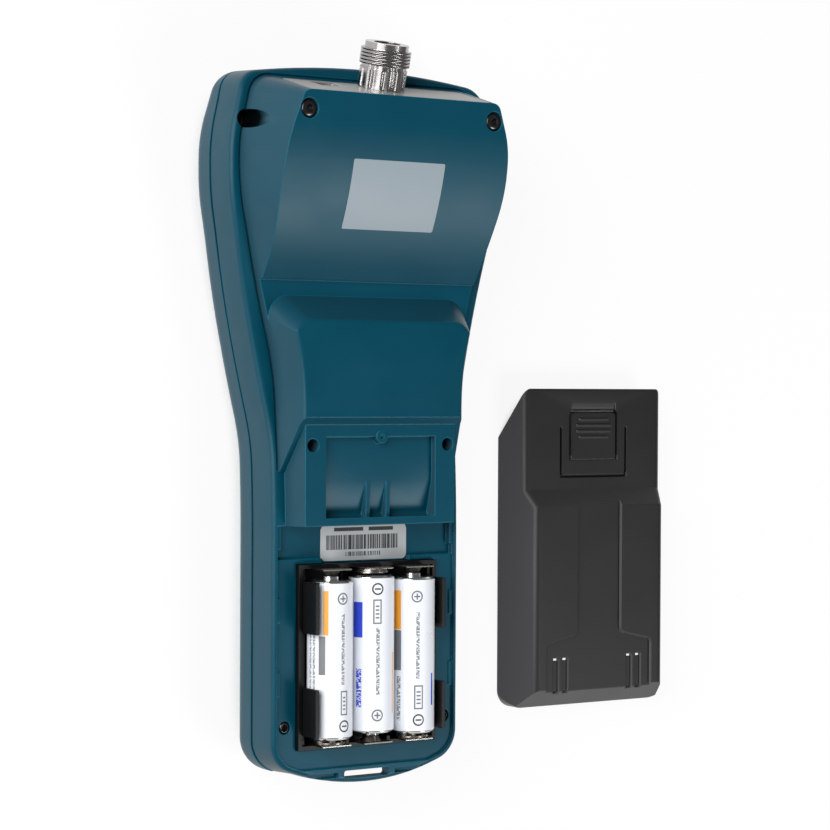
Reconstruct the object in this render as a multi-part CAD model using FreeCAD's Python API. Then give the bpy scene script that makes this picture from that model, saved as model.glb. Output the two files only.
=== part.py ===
import FreeCAD, Part
import math
import os

# Hand-held antenna analyzer, lying face down on a bench with its battery cover taken off beside it.
# Millimetres.  X runs across the case, Y along it towards the antenna connector, Z out of the back.
# Z = 0 is the bench.  Sub-parts are modelled with Y counted from the bottom end of the case and are
# moved at the end, so that the origin lies under the middle of the case.

V = FreeCAD.Vector
UP = V(0, 0, 1)

# ---- driving dimensions: the case ----------------------------------------------------------------
CASE_TOP = 228.5             # Y of the crowned top end
CASE_BOTTOM = 1.2            # Y of the crowned bottom end
HEAD_WIDTH = 102.0           # widest, at the display head
GRIP_WIDTH = 71.0            # straight part that is held
BACK_HEIGHT = 48.5           # bench to the raised back of the head
FRONT_FACE = 3.6             # bench to the front face; the bezel and keypad rim stand proud of it
SEAM = 16.0                  # where the front housing ends
SEAL = 0.8                   # thickness of the seal between the two housings
RIM = 28.1                   # shoulder that runs round the rear housing
WALL = 2.2                   # moulded wall
SADDLE = 3.0                 # how far face, seam and shoulder all dip at the waist
SADDLE_Y = (80.0, CASE_TOP - 83.5, CASE_TOP - 32.5)   # where the dip starts, is deepest and ends
TOP_FALL = 4.4               # how far seam and shoulder fall away at the top end
TOP_FALL_Y = CASE_TOP - 27.5
FLANK_ANGLE = 18.5           # lean of the raised back's flanks
SHOULDER = 4.4               # width of the shoulder at the head
GROOVE = 0.8                 # width and depth of the line moulded beside the shoulder
WALL_DRAFT = 1.1             # how far the side wall leans in from the seam to the rim
FRONT_EDGE_R = 7.4
SHOULDER_R = 1.8

# outline in plan: crowns, corners and where the flare starts and ends; the head is placed from the top end
BOTTOM_CROWN_R = 80.0
BOTTOM_CROWN_HALF = 27.4     # half width of the bottom crown's arc
BOTTOM_CORNER_R = 11.0
FLARE_START = CASE_TOP - 117.5
FLARE_R_IN = 80.0
FLARE_END = CASE_TOP - 41.0
FLARE_R_OUT = 72.0
HEAD_SHOULDER = CASE_TOP - 23.5
HEAD_SHOULDER_R = 46.0
HEAD_TOP_NARROWING = 6.2     # per side, from the head's widest to its top corner
HEAD_CORNER_R = 9.0
TOP_CROWN_R = 270.0
TOP_CROWN_HALF = 35.7
RAISED_CORNER_R = (8.0, 3.0) # top corners of the raised back, at the shoulder and at the top
RAISED_GRIP_WIDTH = 64.8     # foot of the raised back, along the grip
RAISED_FLARE_START = CASE_TOP - 97.5
FRONT_END = 6.2              # the front housing stops short of the lanyard lip

# ---- the back, along the case --------------------------------------------------------------------
PANEL_EDGE = 11.5            # from the top end to the rear edge of the top panel
PANEL_TILT = 15.0            # lean of the top panel and of the connector
CREASE = 22.5                # from the top end to the crease where the back starts to slope
CREASE_DROP = 0.9
BACK_BOW = 0.062             # rise of the slope's arc over its chord, as a share of the chord
RIDGE_Y = CASE_TOP - 68.0    # foot of the slope
RIDGE_LIP = 1.2
VALLEY_Y = CASE_TOP - 73.0
VALLEY_DEPTH = 0.3           # valley floor under the shoulder
PAD_Y = CASE_TOP - 80.8      # top edge of the raised pad at the waist
PAD_HALF = 36.4              # half width of its foot at the valley
PAD_CORNER_R = 7.0           # its two front corners
PAD_EDGE_R = 1.6
PAD_HEIGHT = 38.0
COVER_EDGE_Y = 117.7         # where the pad ends and the cover starts
COVER_STEP = 2.2             # depth of the step that the cover's edge sits on
COVER_FLANK_Y = 101.0        # where the slanting joint reaches the shoulder
PLATFORM_Y = 84.0            # lower edge of the platform

# ---- battery bay ---------------------------------------------------------------------------------
BAY_FLOOR = 27.0
BAY_POCKET = 1.6             # step down between the tray and the platform
BAY_POCKET_Y = 73.4
BAY_POCKET_WIDTH = 65.0
BAY_END_Y = 7.4
BAY_WALL = 2.6
BAY_TAB = (7.6, 1.5, 1.3)    # length, thickness, depth under the rim of each locating tab
BAY_TAB_Y = (34.8, 57.8, 80.5)
LATCH_RECESS = (40.4, 25.2, 2.0, 4.6)   # width, length, depth at the top and at the foot
LATCH_RECESS_Y = 86.4
LATCH_RECESS_BEND = 98.0     # where its floor starts to fall away
RECESS_RIB_X = 3.7
RECESS_RIB = 1.4
RECESS_BOSS_R = 2.1
CELL_R = 7.2
CELL_LENGTH = 50.5
CELL_PITCH = 15.3
CELL_Z = 30.3
CELL_NUB_R = 2.7
CELL_NUB = 1.1
CELL_EDGE = 0.5
SLEEVE_WALL = 0.25
SLEEVE_SHORT = 0.8           # how far the sleeve stops short of the cell's flat ends
TRAY_Y = 13.9
TRAY_WALL = 1.3
TRAY_RIM = 28.6
TRAY_HALF = 25.5
TRAY_FLOOR = 1.5
TRAY_TAB_TOP = 36.5
TRAY_TABS = ((18.5, 33.5), (50.5, 66.5))    # along the case
TRAY_TAB_WALL = 1.2
TRAY_RIB = (0.7, 1.2, 5.2)   # between the cells: thickness, thickness at the ends, depth under the axis
SPRING_GAP = 2.4             # room left for a contact at each end of a cell
SPRING_WIRE = 0.6
SPRING_R = 4.6
SPRING_PITCH = 0.75
SPRING_LEAN = 35.0           # degrees, so that the coil closes to a cone
CONTACT_PLATE = 0.4
CONTACT_WIDTH = 10.4
FIT = 0.2                    # clearance between pieces that slip together
RUN = 0.3                    # clearance round a piece that moves

# ---- lanyard lip ---------------------------------------------------------------------------------
LIP_THICKNESS = 4.4
LANYARD_SLOT = (16.8, 2.4)
LANYARD_Y = 5.1
LIP_POCKET = (11.0, 1.6, 1.5)
LIP_POCKET_X = 16.0

# ---- screws --------------------------------------------------------------------------------------
HEAD_R = 2.9
SCREW_R = 1.25
THREAD_FIT = 0.05            # screw to the bore it is driven into
POST_R = 2.85                # posts that the case screws are driven into
HEAD_HEIGHT = 2.2
SOCKET_R = 1.3
DOME_HEAD_R = 1.3            # rounding of the two domed heads at the top
HEAD_EDGE = 0.5              # chamfer of the other heads
SCREW_BITE = 5.0             # how far a case screw is driven into the front housing
SCREW_TOP = (33.9, 17.2)     # X, and distance from the top end
SCREW_WAIST = (24.9, 109.0)
SCREW_WAIST_DEPTH = 9.0      # platform to the seat of the screw's head
SCREW_BOTTOM = (29.6, 21.2)
SCREW_FLANK = (44.5, 19.4)   # X, and distance from the top end
FLANK_WELL_R = 2.9
SMALL_HEAD_R = 1.9
BOARD_SCREW_HEAD = (2.4, 1.4, 0.9)      # radius, height, radius of its socket
BOARD_SCREW_REACH = (1.5, 6.5, 6.0, 7.5, 6.0, 10.0)    # from the keypad, the window and the lower end

# ---- connector and top panel ---------------------------------------------------------------------
THREAD_R = 7.94              # 5/8 inch thread of the type N socket
CONNECTOR_SHARE = 0.31       # height of its axis where it leaves the panel, from the shoulder to the top
CONNECTOR_RISE = 14.3        # above the top panel
COLLAR = 6.4
COLLAR_R = 7.5
FLUTE = (12, 0.9, 0.45)      # number, radius and distance outside the collar
NUT_R = 9.2
NUT = 1.8
INSULATOR_DEPTH = 6.0        # below the connector's rim
CONTACT_DEPTH = 1.5
CONTACT_BORE = (0.8, 4.0)    # radius and depth
NECK_R = 7.1
NECK = 1.1
RIM_R = 6.9
RIM_LENGTH = 1.9
SOCKET_BORE_R = 4.3
CONTACT_R = 1.5
CONNECTOR_TAIL = 7.0
PANEL_THICKNESS = 1.5
PANEL_WIDTH = 66.0
PANEL_MARGIN = 0.6           # housing left above the panel's upper edge
USB_X = -19.5
USB_WIDTH = 8.4
USB_HEIGHT = 7.4
USB_DEPTH = 9.5
USB_WALL = 0.5
USB_TONGUE = (5.6, 2.4)      # width and thickness

# ---- front ---------------------------------------------------------------------------------------
WINDOW_WIDTH = 72.0
WINDOW_LENGTH = 46.5
WINDOW_Y = CASE_TOP - 68.5
WINDOW_THICKNESS = 1.6
WINDOW_RECESS = 1.0          # bezel edge to the window's face
BEZEL = 4.0
BEZEL_R = 6.0
KEY_WIDTH = 9.8
KEY_LENGTH = 8.6
KEY_PITCH_X = 12.6
KEY_MARGIN = (1.7, 4.0)      # keys to the keypad's rim, across and along the case
KEY_EDGE = 0.6
KEY_PITCH_Y = 16.5
KEY_ROWS = 4
KEY_COLUMNS = 4
KEY_FIRST_Y = 28.0
KEY_R = 2.0
KEY_RECESS = 0.9             # key face above the bench, so that the rim carries the case
KEY_TRAVEL = 0.8
KEY_FLANGE = 1.0
POWER_KEY_Y = 104.0
KEYPAD_RIM = 3.0
DOME_R = 3.2
DOME = 0.25
BOARD = 1.6
BOARD_GAP = 0.15             # dome to key flange at full travel
BOARD_MARGIN = 2.6           # side wall to board
RF_SHIELD = (46.0, 34.0, 6.5)
RF_SHIELD_Y = CASE_TOP - 62.5
SHIELD_WALL = 0.6
RADIO_MODULE = (18.0, 14.0, 0.8, 1.8)   # width, length, thickness of its board, height of its can
RADIO_MODULE_PLACE = (-22.0, CASE_TOP - 95.5)
RADIO_CAN_MARGIN = 1.0
BUZZER = (6.0, 5.0, 1.0)     # radius, height, radius of its sound hole
BUZZER_PLACE = (22.0, CASE_TOP - 96.5)
DISPLAY_BACK = 1.2           # display to board
DISPLAY_FRAME = 1.8

# ---- labels --------------------------------------------------------------------------------------
REAR_LABEL = (33.5, 21.1, 0.12)         # width, length, thickness
REAR_LABEL_Y = CASE_TOP - 52.5
BAY_LABEL = (32.0, 11.3, 0.12)
BAY_LABEL_Y = 72.4
LABEL_CORNER_R = (0.6, 1.8)

# ---- where the cover lies ------------------------------------------------------------------------
COVER_X = 103.0
COVER_Y = 9.5
COVER_WALL = 1.8
COVER_BULGE = 4.2
COVER_GAP = 0.35             # all round, when it is on the case
COVER_END_Y = 8.6
COVER_FOOT_WIDTH = 66.4
COVER_TOP_WIDTH = 57.8       # at the level of the waist pad
COVER_CORNER_R = 6.0         # lower corners in plan
COVER_EDGE_R = 3.0
BULGE_TOP = (83.0, 77.5)     # the slope between the two levels of the cover
STRAP_RECESS = 1.2
STRAP_WIDTH = 18.5
STRAP_FOOT = (45.0, 22.0)    # width of the recess's foot, and how far up it reaches
STRAP_EASE = 3.0             # slope where the recess widens
LATCH_WIDTH = 19.0
LATCH_Y = (93.0, 109.5)      # hinged end and free end
LATCH_SLOT = 0.8
LATCH_CORNER_R = 2.0
LATCH_FRAME = (27.8, 87.4, 103.9)  # width of the groove round the latch, and its lower and upper ends
FRAME_DEPTH = 1.0
LATCH_STOP = (0.35, 1.2)     # ledge under the free end: clearance and thickness
THUMB = (19.0, 3.4, 1.0)     # width, length and depth of the dip above the latch
HINGE_GAP = 0.1
HOOK = (10.0, 1.6, 3.4)      # width, thickness and reach of the latch's hook
GRIP_RIB = (0.7, 0.5)        # width and height
GRIP_RIBS = ((106.9, 12.6), (104.9, 14.8), (102.9, 14.8), (100.9, 12.6))   # Y and length
VENT_X = (13.75, 17.65)
VENT = (2.6, 12.0, 0.9)      # width, length, depth
VENT_Y = 13.6
VENT_SLIT = 0.9              # what is open at each end of a vent
NOTCH = (17.0, 2.6, 3.0)     # in the cover's foot, over the lanyard slot


# ---- small helpers -------------------------------------------------------------------------------
def box(x0, x1, y0, y1, z0, z1):
    return Part.makeBox(x1 - x0, y1 - y0, z1 - z0, V(x0, y0, z0))


def post(r, z0, z1, x=0.0, y=0.0):
    return Part.makeCylinder(r, z1 - z0, V(x, y, z0))


def rounded_box(x0, x1, y0, y1, z0, z1, r):
    """A block whose four upright edges are rounded."""
    block = box(x0, x1, y0, y1, z0, z1)
    upright = [e for e in block.Edges if abs(e.tangentAt(e.FirstParameter).z) > 0.9]
    return block.makeFillet(r, upright)


def prism(sides, r, z0, z1, x=0.0, y=0.0):
    """An upright regular prism; r is the radius of its corners."""
    step = 2 * math.pi / sides
    turns = [step * (i + 0.5) for i in range(sides)]
    corners = [V(x + r * math.cos(turn), y + r * math.sin(turn), z0) for turn in turns]
    return Part.Face(Part.makePolygon(corners + corners[:1])).extrude(V(0, 0, z1 - z0))


def both_sides(shape):
    """The shape and its mirror image across the middle of the case, fused."""
    return shape.fuse(shape.mirror(V(0, 0, 0), V(1, 0, 0)))


def rounded_loop(corners, z):
    """A closed wire round (x, y, radius) corners, given anticlockwise."""
    edges = []
    starts = []
    n = len(corners)
    for i in range(n):
        x, y, r = corners[i]
        here = V(x, y, 0)
        back = V(corners[i - 1][0], corners[i - 1][1], 0) - here
        on = V(corners[(i + 1) % n][0], corners[(i + 1) % n][1], 0) - here
        turn = math.pi - back.getAngle(on)
        run = min(r * math.tan(turn / 2), 0.8 * min(back.Length, on.Length))
        r = run / math.tan(turn / 2)
        back.normalize()
        on.normalize()
        middle = (back + on).normalize()
        centre_distance = r / math.cos(turn / 2)
        a = here + back * run
        b = here + on * run
        m = here + middle * (centre_distance - r)
        starts.append((a, m, b))
    for i in range(n):
        a, m, b = [p + V(0, 0, z) for p in starts[i]]
        edges.append(Part.Arc(a, m, b).toShape())
        nxt = starts[(i + 1) % n][0] + V(0, 0, z)
        edges.append(Part.LineSegment(b, nxt).toShape())
    return Part.Wire(edges)


def crown(r, half):
    """Slope at the ends of a crowned end, and how far its tangents meet outside its middle."""
    angle = math.asin(half / r)
    return math.tan(angle), r * (1 / math.cos(angle) - 1)


def case_corners(inset, grip, flare_start):
    """The case's plan outline, moved inwards by inset.  The raised back has its own grip and flare."""
    head = HEAD_WIDTH / 2
    slope, outside = crown(BOTTOM_CROWN_R, BOTTOM_CROWN_HALF)
    bottom = CASE_BOTTOM - outside
    top_slope, outside = crown(TOP_CROWN_R, TOP_CROWN_HALF)
    top = CASE_TOP + outside
    top_x = head - HEAD_TOP_NARROWING
    right = [(grip, bottom + grip * slope, BOTTOM_CORNER_R),
             (grip, flare_start, -FLARE_R_IN),
             (head, FLARE_END, FLARE_R_OUT),
             (head, HEAD_SHOULDER, HEAD_SHOULDER_R),
             (top_x, top - top_x * top_slope, HEAD_CORNER_R)]
    left = [(-x, y, r) for x, y, r in reversed(right)]
    loop = [(0, bottom, BOTTOM_CROWN_R)] + right + [(0, top, TOP_CROWN_R)] + left
    moved = []
    n = len(loop)
    for i in range(n):
        x, y, r = loop[i]
        ax, ay = loop[i - 1][0], loop[i - 1][1]
        bx, by = loop[(i + 1) % n][0], loop[(i + 1) % n][1]
        before = V(ay - y, x - ax, 0).normalize()
        after = V(y - by, bx - x, 0).normalize()
        shift = (before + after) * (inset / (1 + before.dot(after)))
        radius = r - inset if r > 0 else inset - r
        moved.append((x + shift.x, y + shift.y, max(radius, 0.8)))
    return moved


def case_loop(inset, z):
    return rounded_loop(case_corners(inset, GRIP_WIDTH / 2, FLARE_START), z)


def case_slab(inset, z0, z1):
    """A slab of the case's outline with upright sides."""
    return Part.Face(case_loop(inset, z0)).extrude(V(0, 0, z1 - z0))


def case_taper(inset0, z0, inset1, z1):
    """A slab of the case's outline whose sides lean from one inset to another."""
    return Part.makeLoft([case_loop(inset0, z0), case_loop(inset1, z1)], True, True)


def raised_loop(inset, z):
    """The raised back in plan at the level z, moved inwards by inset, with its straight top end."""
    up = max(z - RIM, 0)
    grip = RAISED_GRIP_WIDTH / 2 + SHOULDER
    loop = case_corners(SHOULDER + inset + up * FLANK, grip, RAISED_FLARE_START)
    low, high = RAISED_CORNER_R
    r = max(low + (high - low) * up / (BACK_HEIGHT - RIM) - inset, 0.8)
    y = PANEL_Y + (BACK_HEIGHT - z) * math.tan(TILT) - inset
    shoulder, corner = loop[4], loop[5]
    share = (y - shoulder[1]) / (corner[1] - shoulder[1])
    x = shoulder[0] + share * (corner[0] - shoulder[0])
    return rounded_loop(loop[:5] + [(x, y, r), (-x, y, r)] + loop[8:], z)


def raised_block(inset, top):
    """The raised back's form from below the dip up to top: upright to the shoulder, then leaning."""
    low = RIM - max(SADDLE, TOP_FALL) - 2 * WALL
    foot = Part.makeLoft([raised_loop(inset, low), raised_loop(inset, RIM)], True, True)
    return foot.fuse(Part.makeLoft([raised_loop(inset, RIM), raised_loop(inset, top)], True, True))


def below(z, fall=TOP_FALL):
    """Everything under the level z, which dips at the waist and falls away at the top end."""
    start, deep, end = SADDLE_Y
    half = SADDLE / 2
    eighth = SADDLE / 8
    y0 = (start + deep) / 2
    y1 = (deep + end) / 2
    run = CASE_TOP - TOP_FALL_Y
    top = [(3 * REACH, z - fall), (CASE_TOP, z - fall), (TOP_FALL_Y + run / 2, z - fall / 4, TOP_FALL_Y, z)]
    if fall == 0:
        top = [(3 * REACH, z)]
    return across([(-REACH, -REACH), (3 * REACH, -REACH)] + top + [
                   (end, z), ((y1 + end) / 2, z - eighth, y1, z - half),
                   ((deep + y1) / 2, z - SADDLE + eighth, deep, z - SADDLE),
                   ((y0 + deep) / 2, z - SADDLE + eighth, y0, z - half),
                   ((start + y0) / 2, z - eighth, start, z), (-REACH, z)], REACH)


def across(points, half_width):
    """A prism that runs across the case: points are (y, z), or three in a tuple for an arc."""
    edges = []
    here = V(-half_width, points[0][0], points[0][1])
    first = here
    for p in points[1:]:
        if len(p) == 4:
            mid = V(-half_width, p[0], p[1])
            end = V(-half_width, p[2], p[3])
            edges.append(Part.Arc(here, mid, end).toShape())
        else:
            end = V(-half_width, p[0], p[1])
            edges.append(Part.LineSegment(here, end).toShape())
        here = end
    edges.append(Part.LineSegment(here, first).toShape())
    return Part.Face(Part.Wire(edges)).extrude(V(2 * half_width, 0, 0))


def one(shape):
    """The shape without seams between faces that continue one another."""
    return shape.removeSplitter()


# ---- levels and places worked out from the driving dimensions ------------------------------------
REACH = HEAD_WIDTH                     # wider than anything on the case
REAR_BASE = SEAM + SEAL
FLANK = math.tan(math.radians(FLANK_ANGLE))
VALLEY = RIM - VALLEY_DEPTH
PLATFORM = PAD_HEIGHT - COVER_STEP
PANEL_Y = CASE_TOP - PANEL_EDGE
TILT = math.radians(PANEL_TILT)
FRONT_INSIDE = FRONT_FACE + WALL
KEY_FLANGE_Z = FRONT_INSIDE + FIT
BOARD_Z = KEY_FLANGE_Z + KEY_FLANGE + KEY_TRAVEL + BOARD_GAP + DOME
BOARD_TOP = BOARD_Z + BOARD
TRAY_LENGTH = CELL_LENGTH + 2 * SPRING_GAP + 2 * TRAY_WALL
TRAY_BASE = CELL_Z - CELL_R - FIT - TRAY_FLOOR
CELL_Y = TRAY_Y + TRAY_WALL + SPRING_GAP + CELL_LENGTH / 2
CONNECTOR_Z = RIM + CONNECTOR_SHARE * (BACK_HEIGHT - RIM)
PANEL_UP = (BACK_HEIGHT - CONNECTOR_Z) / math.cos(TILT) - PANEL_MARGIN
PANEL_DOWN = (CONNECTOR_Z - RIM - PANEL_MARGIN) / math.cos(TILT)
CONNECTOR_Y = PANEL_Y + (BACK_HEIGHT - CONNECTOR_Z) * math.tan(TILT)


def on_panel(shape):
    """Move a shape modelled about the connector's axis, with +Z out of the top panel, into place."""
    turned = shape.copy()
    turned.rotate(V(0, 0, 0), V(1, 0, 0), PANEL_TILT - 90)
    turned.translate(V(0, CONNECTOR_Y, CONNECTOR_Z))
    return turned


def back_profile(drop):
    """Side view of the raised back, from the cover's edge over the pad, valley and head."""
    ridge_z = VALLEY + RIDGE_LIP
    crease_y = CASE_TOP - CREASE
    crease_z = BACK_HEIGHT - CREASE_DROP
    run = crease_y - RIDGE_Y
    rise = crease_z - ridge_z
    length = math.hypot(run, rise)
    bow = BACK_BOW * length
    bow_y = (crease_y + RIDGE_Y) / 2 - bow * rise / length
    bow_z = (crease_z + ridge_z) / 2 + bow * run / length
    low = 0
    end = CASE_TOP + CREASE - PANEL_EDGE
    end_z = BACK_HEIGHT + CREASE_DROP * (end - PANEL_Y) / (PANEL_Y - crease_y)
    return [(COVER_FLANK_Y, RIM),
            (COVER_EDGE_Y - COVER_STEP, PLATFORM), (COVER_EDGE_Y, PAD_HEIGHT - drop),
            (PAD_Y, PAD_HEIGHT - drop), (VALLEY_Y, VALLEY - drop), (RIDGE_Y - 0.2, VALLEY - drop),
            (RIDGE_Y, ridge_z - drop), (bow_y, bow_z - drop, crease_y, crease_z - drop),
            (end, end_z - drop), (end, low), (COVER_FLANK_Y, low)]


# ---- rear housing --------------------------------------------------------------------------------
def rear_outer():
    """Side wall, shoulder, groove, raised back, waist pad and platform, before it is hollowed."""
    drop = max(SADDLE, TOP_FALL)
    wall = case_taper(0, REAR_BASE - drop, WALL_DRAFT, RIM).common(below(RIM)).cut(below(REAR_BASE))
    top = [e for e in wall.Edges if e.BoundBox.ZMin > RIM - drop - 0.1 and outer_edge(e)]
    wall = wall.makeFillet(SHOULDER_R, top)
    low = RIM - drop - GROOVE
    ring = Part.makeLoft([raised_loop(-GROOVE, low), raised_loop(-GROOVE, RIM + WALL / 4)], True, True)
    ring = ring.common(box(-REACH, REACH, COVER_FLANK_Y, CASE_TOP, 0, BACK_HEIGHT))
    wall = wall.cut(ring.cut(below(RIM - GROOVE)))
    raised = raised_block(0, BACK_HEIGHT + 2).common(across(back_profile(0), REACH))
    raised = round_pad(raised)
    platform = raised_block(COVER_STEP, PLATFORM)
    platform = platform.common(box(-REACH, REACH, PLATFORM_Y, COVER_EDGE_Y, 0, BACK_HEIGHT))
    return wall.fuse([raised, platform])


def round_pad(raised):
    """The raised back with the pad's two front corners and the edge round its top rounded."""
    def loop(half, y, z):
        return rounded_loop([(half, BAY_POCKET_Y, 1), (half, y, PAD_CORNER_R), (-half, y, PAD_CORNER_R),
                             (-half, BAY_POCKET_Y, 1)], z)
    narrowing = (PAD_HEIGHT - VALLEY) * FLANK
    pad = Part.makeLoft([loop(PAD_HALF, VALLEY_Y, VALLEY), loop(PAD_HALF - narrowing, PAD_Y, PAD_HEIGHT)],
                        True, True)
    room = pad.fuse([box(-REACH, REACH, 0, CASE_TOP, 0, VALLEY),
                     box(-REACH, REACH, VALLEY_Y, CASE_TOP + CREASE, VALLEY, 2 * BACK_HEIGHT)])
    raised = one(raised.common(room))
    top = []
    for e in raised.Edges:
        size = e.BoundBox
        if size.ZMin > PAD_HEIGHT - 0.01 and size.ZMax < PAD_HEIGHT + 0.01 and size.YMax > COVER_EDGE_Y + 1:
            top.append(e)
    return raised.makeFillet(PAD_EDGE_R, top)


def outer_edge(edge):
    """True for an edge that runs round the case, and not up its side or straight across it."""
    size = edge.BoundBox
    return size.YLength > 0.01 and size.ZLength < 0.3 * math.hypot(size.XLength, size.YLength)


def rear_cavity():
    """The room inside: under the bay floor, and up into the head."""
    low = case_slab(WALL, SEAM - TOP_FALL - SADDLE, BAY_FLOOR - WALL)
    low = low.common(box(-REACH, REACH, FRONT_END + WALL, CASE_TOP, 0, BACK_HEIGHT))
    low = low.common(below(BAY_FLOOR - WALL - BAY_POCKET))
    head = Part.makeLoft([raised_loop(WALL, SEAM - TOP_FALL - SADDLE),
                          raised_loop(WALL + 1, BACK_HEIGHT)], True, True)
    y0 = COVER_EDGE_Y + WALL
    base = SEAM - TOP_FALL - SADDLE
    crease = (CASE_TOP - CREASE, BACK_HEIGHT - CREASE_DROP - 1.4 * WALL)
    behind_panel = PANEL_Y - (PANEL_THICKNESS + WALL) / math.cos(TILT)
    roof = BACK_HEIGHT - 1.4 * WALL
    profile = [(y0, base), (y0, PAD_HEIGHT - WALL), (PAD_Y - WALL, PAD_HEIGHT - WALL),
               (VALLEY_Y - WALL, VALLEY - WALL), (RIDGE_Y + 1.5 * WALL, VALLEY - WALL), crease,
               (behind_panel + (BACK_HEIGHT - roof) * math.tan(TILT), roof),
               (behind_panel + (BACK_HEIGHT - base) * math.tan(TILT), base)]
    return low.fuse(head.common(across(profile, REACH)))


def tray_well():
    """The opening in the bay floor that the battery tray drops into, and the pan under it."""
    y1 = TRAY_Y + TRAY_LENGTH
    pan = rounded_box(-TRAY_HALF - FIT - WALL, TRAY_HALF + FIT + WALL, TRAY_Y - FIT - WALL,
                      y1 + FIT + WALL, TRAY_BASE - WALL, BAY_FLOOR - WALL / 2, WALL)
    hole = box(-TRAY_HALF - FIT, TRAY_HALF + FIT, TRAY_Y - FIT, y1 + FIT, TRAY_BASE, RIM + 1)
    return pan, hole


def panel_seat():
    """The bed of the top panel, the openings behind it, and the room for the connector's nut."""
    bed = on_panel(box(-PANEL_WIDTH / 2 - FIT, PANEL_WIDTH / 2 + FIT, -PANEL_UP - FIT,
                       PANEL_DOWN + FIT, -PANEL_THICKNESS, 30))
    port = on_panel(post(NECK_R + FIT, -20, 5))
    usb = on_panel(box(USB_X - USB_WIDTH / 2 - FIT, USB_X + USB_WIDTH / 2 + FIT,
                       -USB_HEIGHT / 2 - FIT, USB_HEIGHT / 2 + FIT, -20, 5))
    behind = -PANEL_THICKNESS - WALL
    nut_room = on_panel(post(NUT_R + FIT, behind - NUT - FIT, behind))
    return bed, port.fuse([usb, nut_room])


def screw_places():
    """Middle of each case screw, the level its head bears on, and its head radius."""
    top_y = CASE_TOP - SCREW_TOP[1]
    flank_y = CASE_TOP - SCREW_FLANK[1]
    return {"top": (SCREW_TOP[0], top_y, BACK_HEIGHT - 0.6 - HEAD_HEIGHT, HEAD_R),
            "waist": (SCREW_WAIST[0], SCREW_WAIST[1], PLATFORM - SCREW_WAIST_DEPTH, SMALL_HEAD_R),
            "bottom": (SCREW_BOTTOM[0], SCREW_BOTTOM[1], BAY_FLOOR - HEAD_HEIGHT, SMALL_HEAD_R),
            "flank": (SCREW_FLANK[0], flank_y, REAR_BASE + WALL + 1, FLANK_WELL_R - FIT)}


def bay_hollow():
    """What is cut out of the grip between its rim walls, down to the bay floor and the pocket."""
    bay = case_slab(BAY_WALL, BAY_FLOOR, RIM + 1)
    bay = bay.common(box(-REACH, REACH, BAY_END_Y, PLATFORM_Y, 0, BACK_HEIGHT))
    half = BAY_POCKET_WIDTH / 2
    tray_end = TRAY_Y + TRAY_LENGTH + FIT
    pocket = box(-half, half, BAY_POCKET_Y, PLATFORM_Y, BAY_FLOOR - BAY_POCKET, RIM)
    under_label = box(-half / 2, half / 2, tray_end - 1, PLATFORM_Y, BAY_FLOOR - BAY_POCKET, RIM)
    length, thick, deep = BAY_TAB
    edge = GRIP_WIDTH / 2 - BAY_WALL
    tabs = []
    for y in BAY_TAB_Y:
        tabs.append(box(edge - thick, edge + 1, y - length / 2, y + length / 2,
                        BAY_FLOOR - BAY_POCKET, RIM - deep + 0.6))
    return bay.fuse([pocket, under_label]).cut(both_sides(tabs[0].fuse(tabs[1:])))


def rear_housing():
    outer = rear_outer()
    bed, ports = panel_seat()
    pan, hole = tray_well()
    columns = []
    wells = []
    for x, y, z, r in screw_places().values():
        columns.append(post(r + 1.4, SEAM - TOP_FALL - SADDLE, z + 0.5, x, y))
        wells.append(post(r + FIT, z, BACK_HEIGHT + 5, x, y))
        wells.append(post(SCREW_R + FIT, SEAM - TOP_FALL - SADDLE, z + 1, x, y))
    columns = both_sides(columns[0].fuse(columns[1:])).common(outer)
    body = outer.cut(rear_cavity().cut(columns)).fuse(pan).cut(bay_hollow())
    body = body.cut([hole, bed, ports, latch_recess()])
    body = body.cut(both_sides(wells[0].fuse(wells[1:])))
    body = body.cut(lanyard_cuts())
    return one(body.fuse(recess_boss()))


def latch_recess():
    """The pocket in the platform under the cover's latch, with its falling floor and two ribs."""
    width, length, shallow, deep = LATCH_RECESS
    y0 = LATCH_RECESS_Y
    y1 = y0 + length
    z0 = PLATFORM - shallow
    z1 = PLATFORM - deep
    side = [(y0, PLATFORM + 1), (y0, z1 + 1.0), (y0 + 0.4, z1 + 0.2, y0 + 2.0, z1), (LATCH_RECESS_BEND, z0),
            (y1, z0), (y1, PLATFORM + 1)]
    pocket = across(side, width / 2)
    rib = box(RECESS_RIB_X - RECESS_RIB / 2, RECESS_RIB_X + RECESS_RIB / 2, y0 - 1, LATCH_RECESS_BEND + 1,
              z1 - 1, z0)
    return pocket.cut(both_sides(rib))


def recess_boss():
    """The small dimpled boss at the top of the recess."""
    y = LATCH_RECESS_Y + LATCH_RECESS[1]
    boss = post(RECESS_BOSS_R, PLATFORM - 3.5, PLATFORM + 0.4, 0, y)
    return boss.cut(post(RECESS_BOSS_R / 3, PLATFORM - 0.4, PLATFORM + 1, 0, y))


def lanyard_cuts():
    """The slot through the lip, the space behind the lip, and the two shallow pockets."""
    half, tall = LANYARD_SLOT[0] / 2, LANYARD_SLOT[1] / 2
    slot = rounded_box(-half, half, LANYARD_Y - tall, LANYARD_Y + tall, REAR_BASE - 1, RIM + 1, 0.8)
    behind = box(-REACH, REACH, -9, FRONT_END, 0, RIM - LIP_THICKNESS)
    width, height, depth = LIP_POCKET
    pocket = box(LIP_POCKET_X - width / 2, LIP_POCKET_X + width / 2, LANYARD_Y - height / 2,
                 LANYARD_Y + height / 2, RIM - depth, RIM + 1)
    return [slot, behind, both_sides(pocket)]


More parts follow.
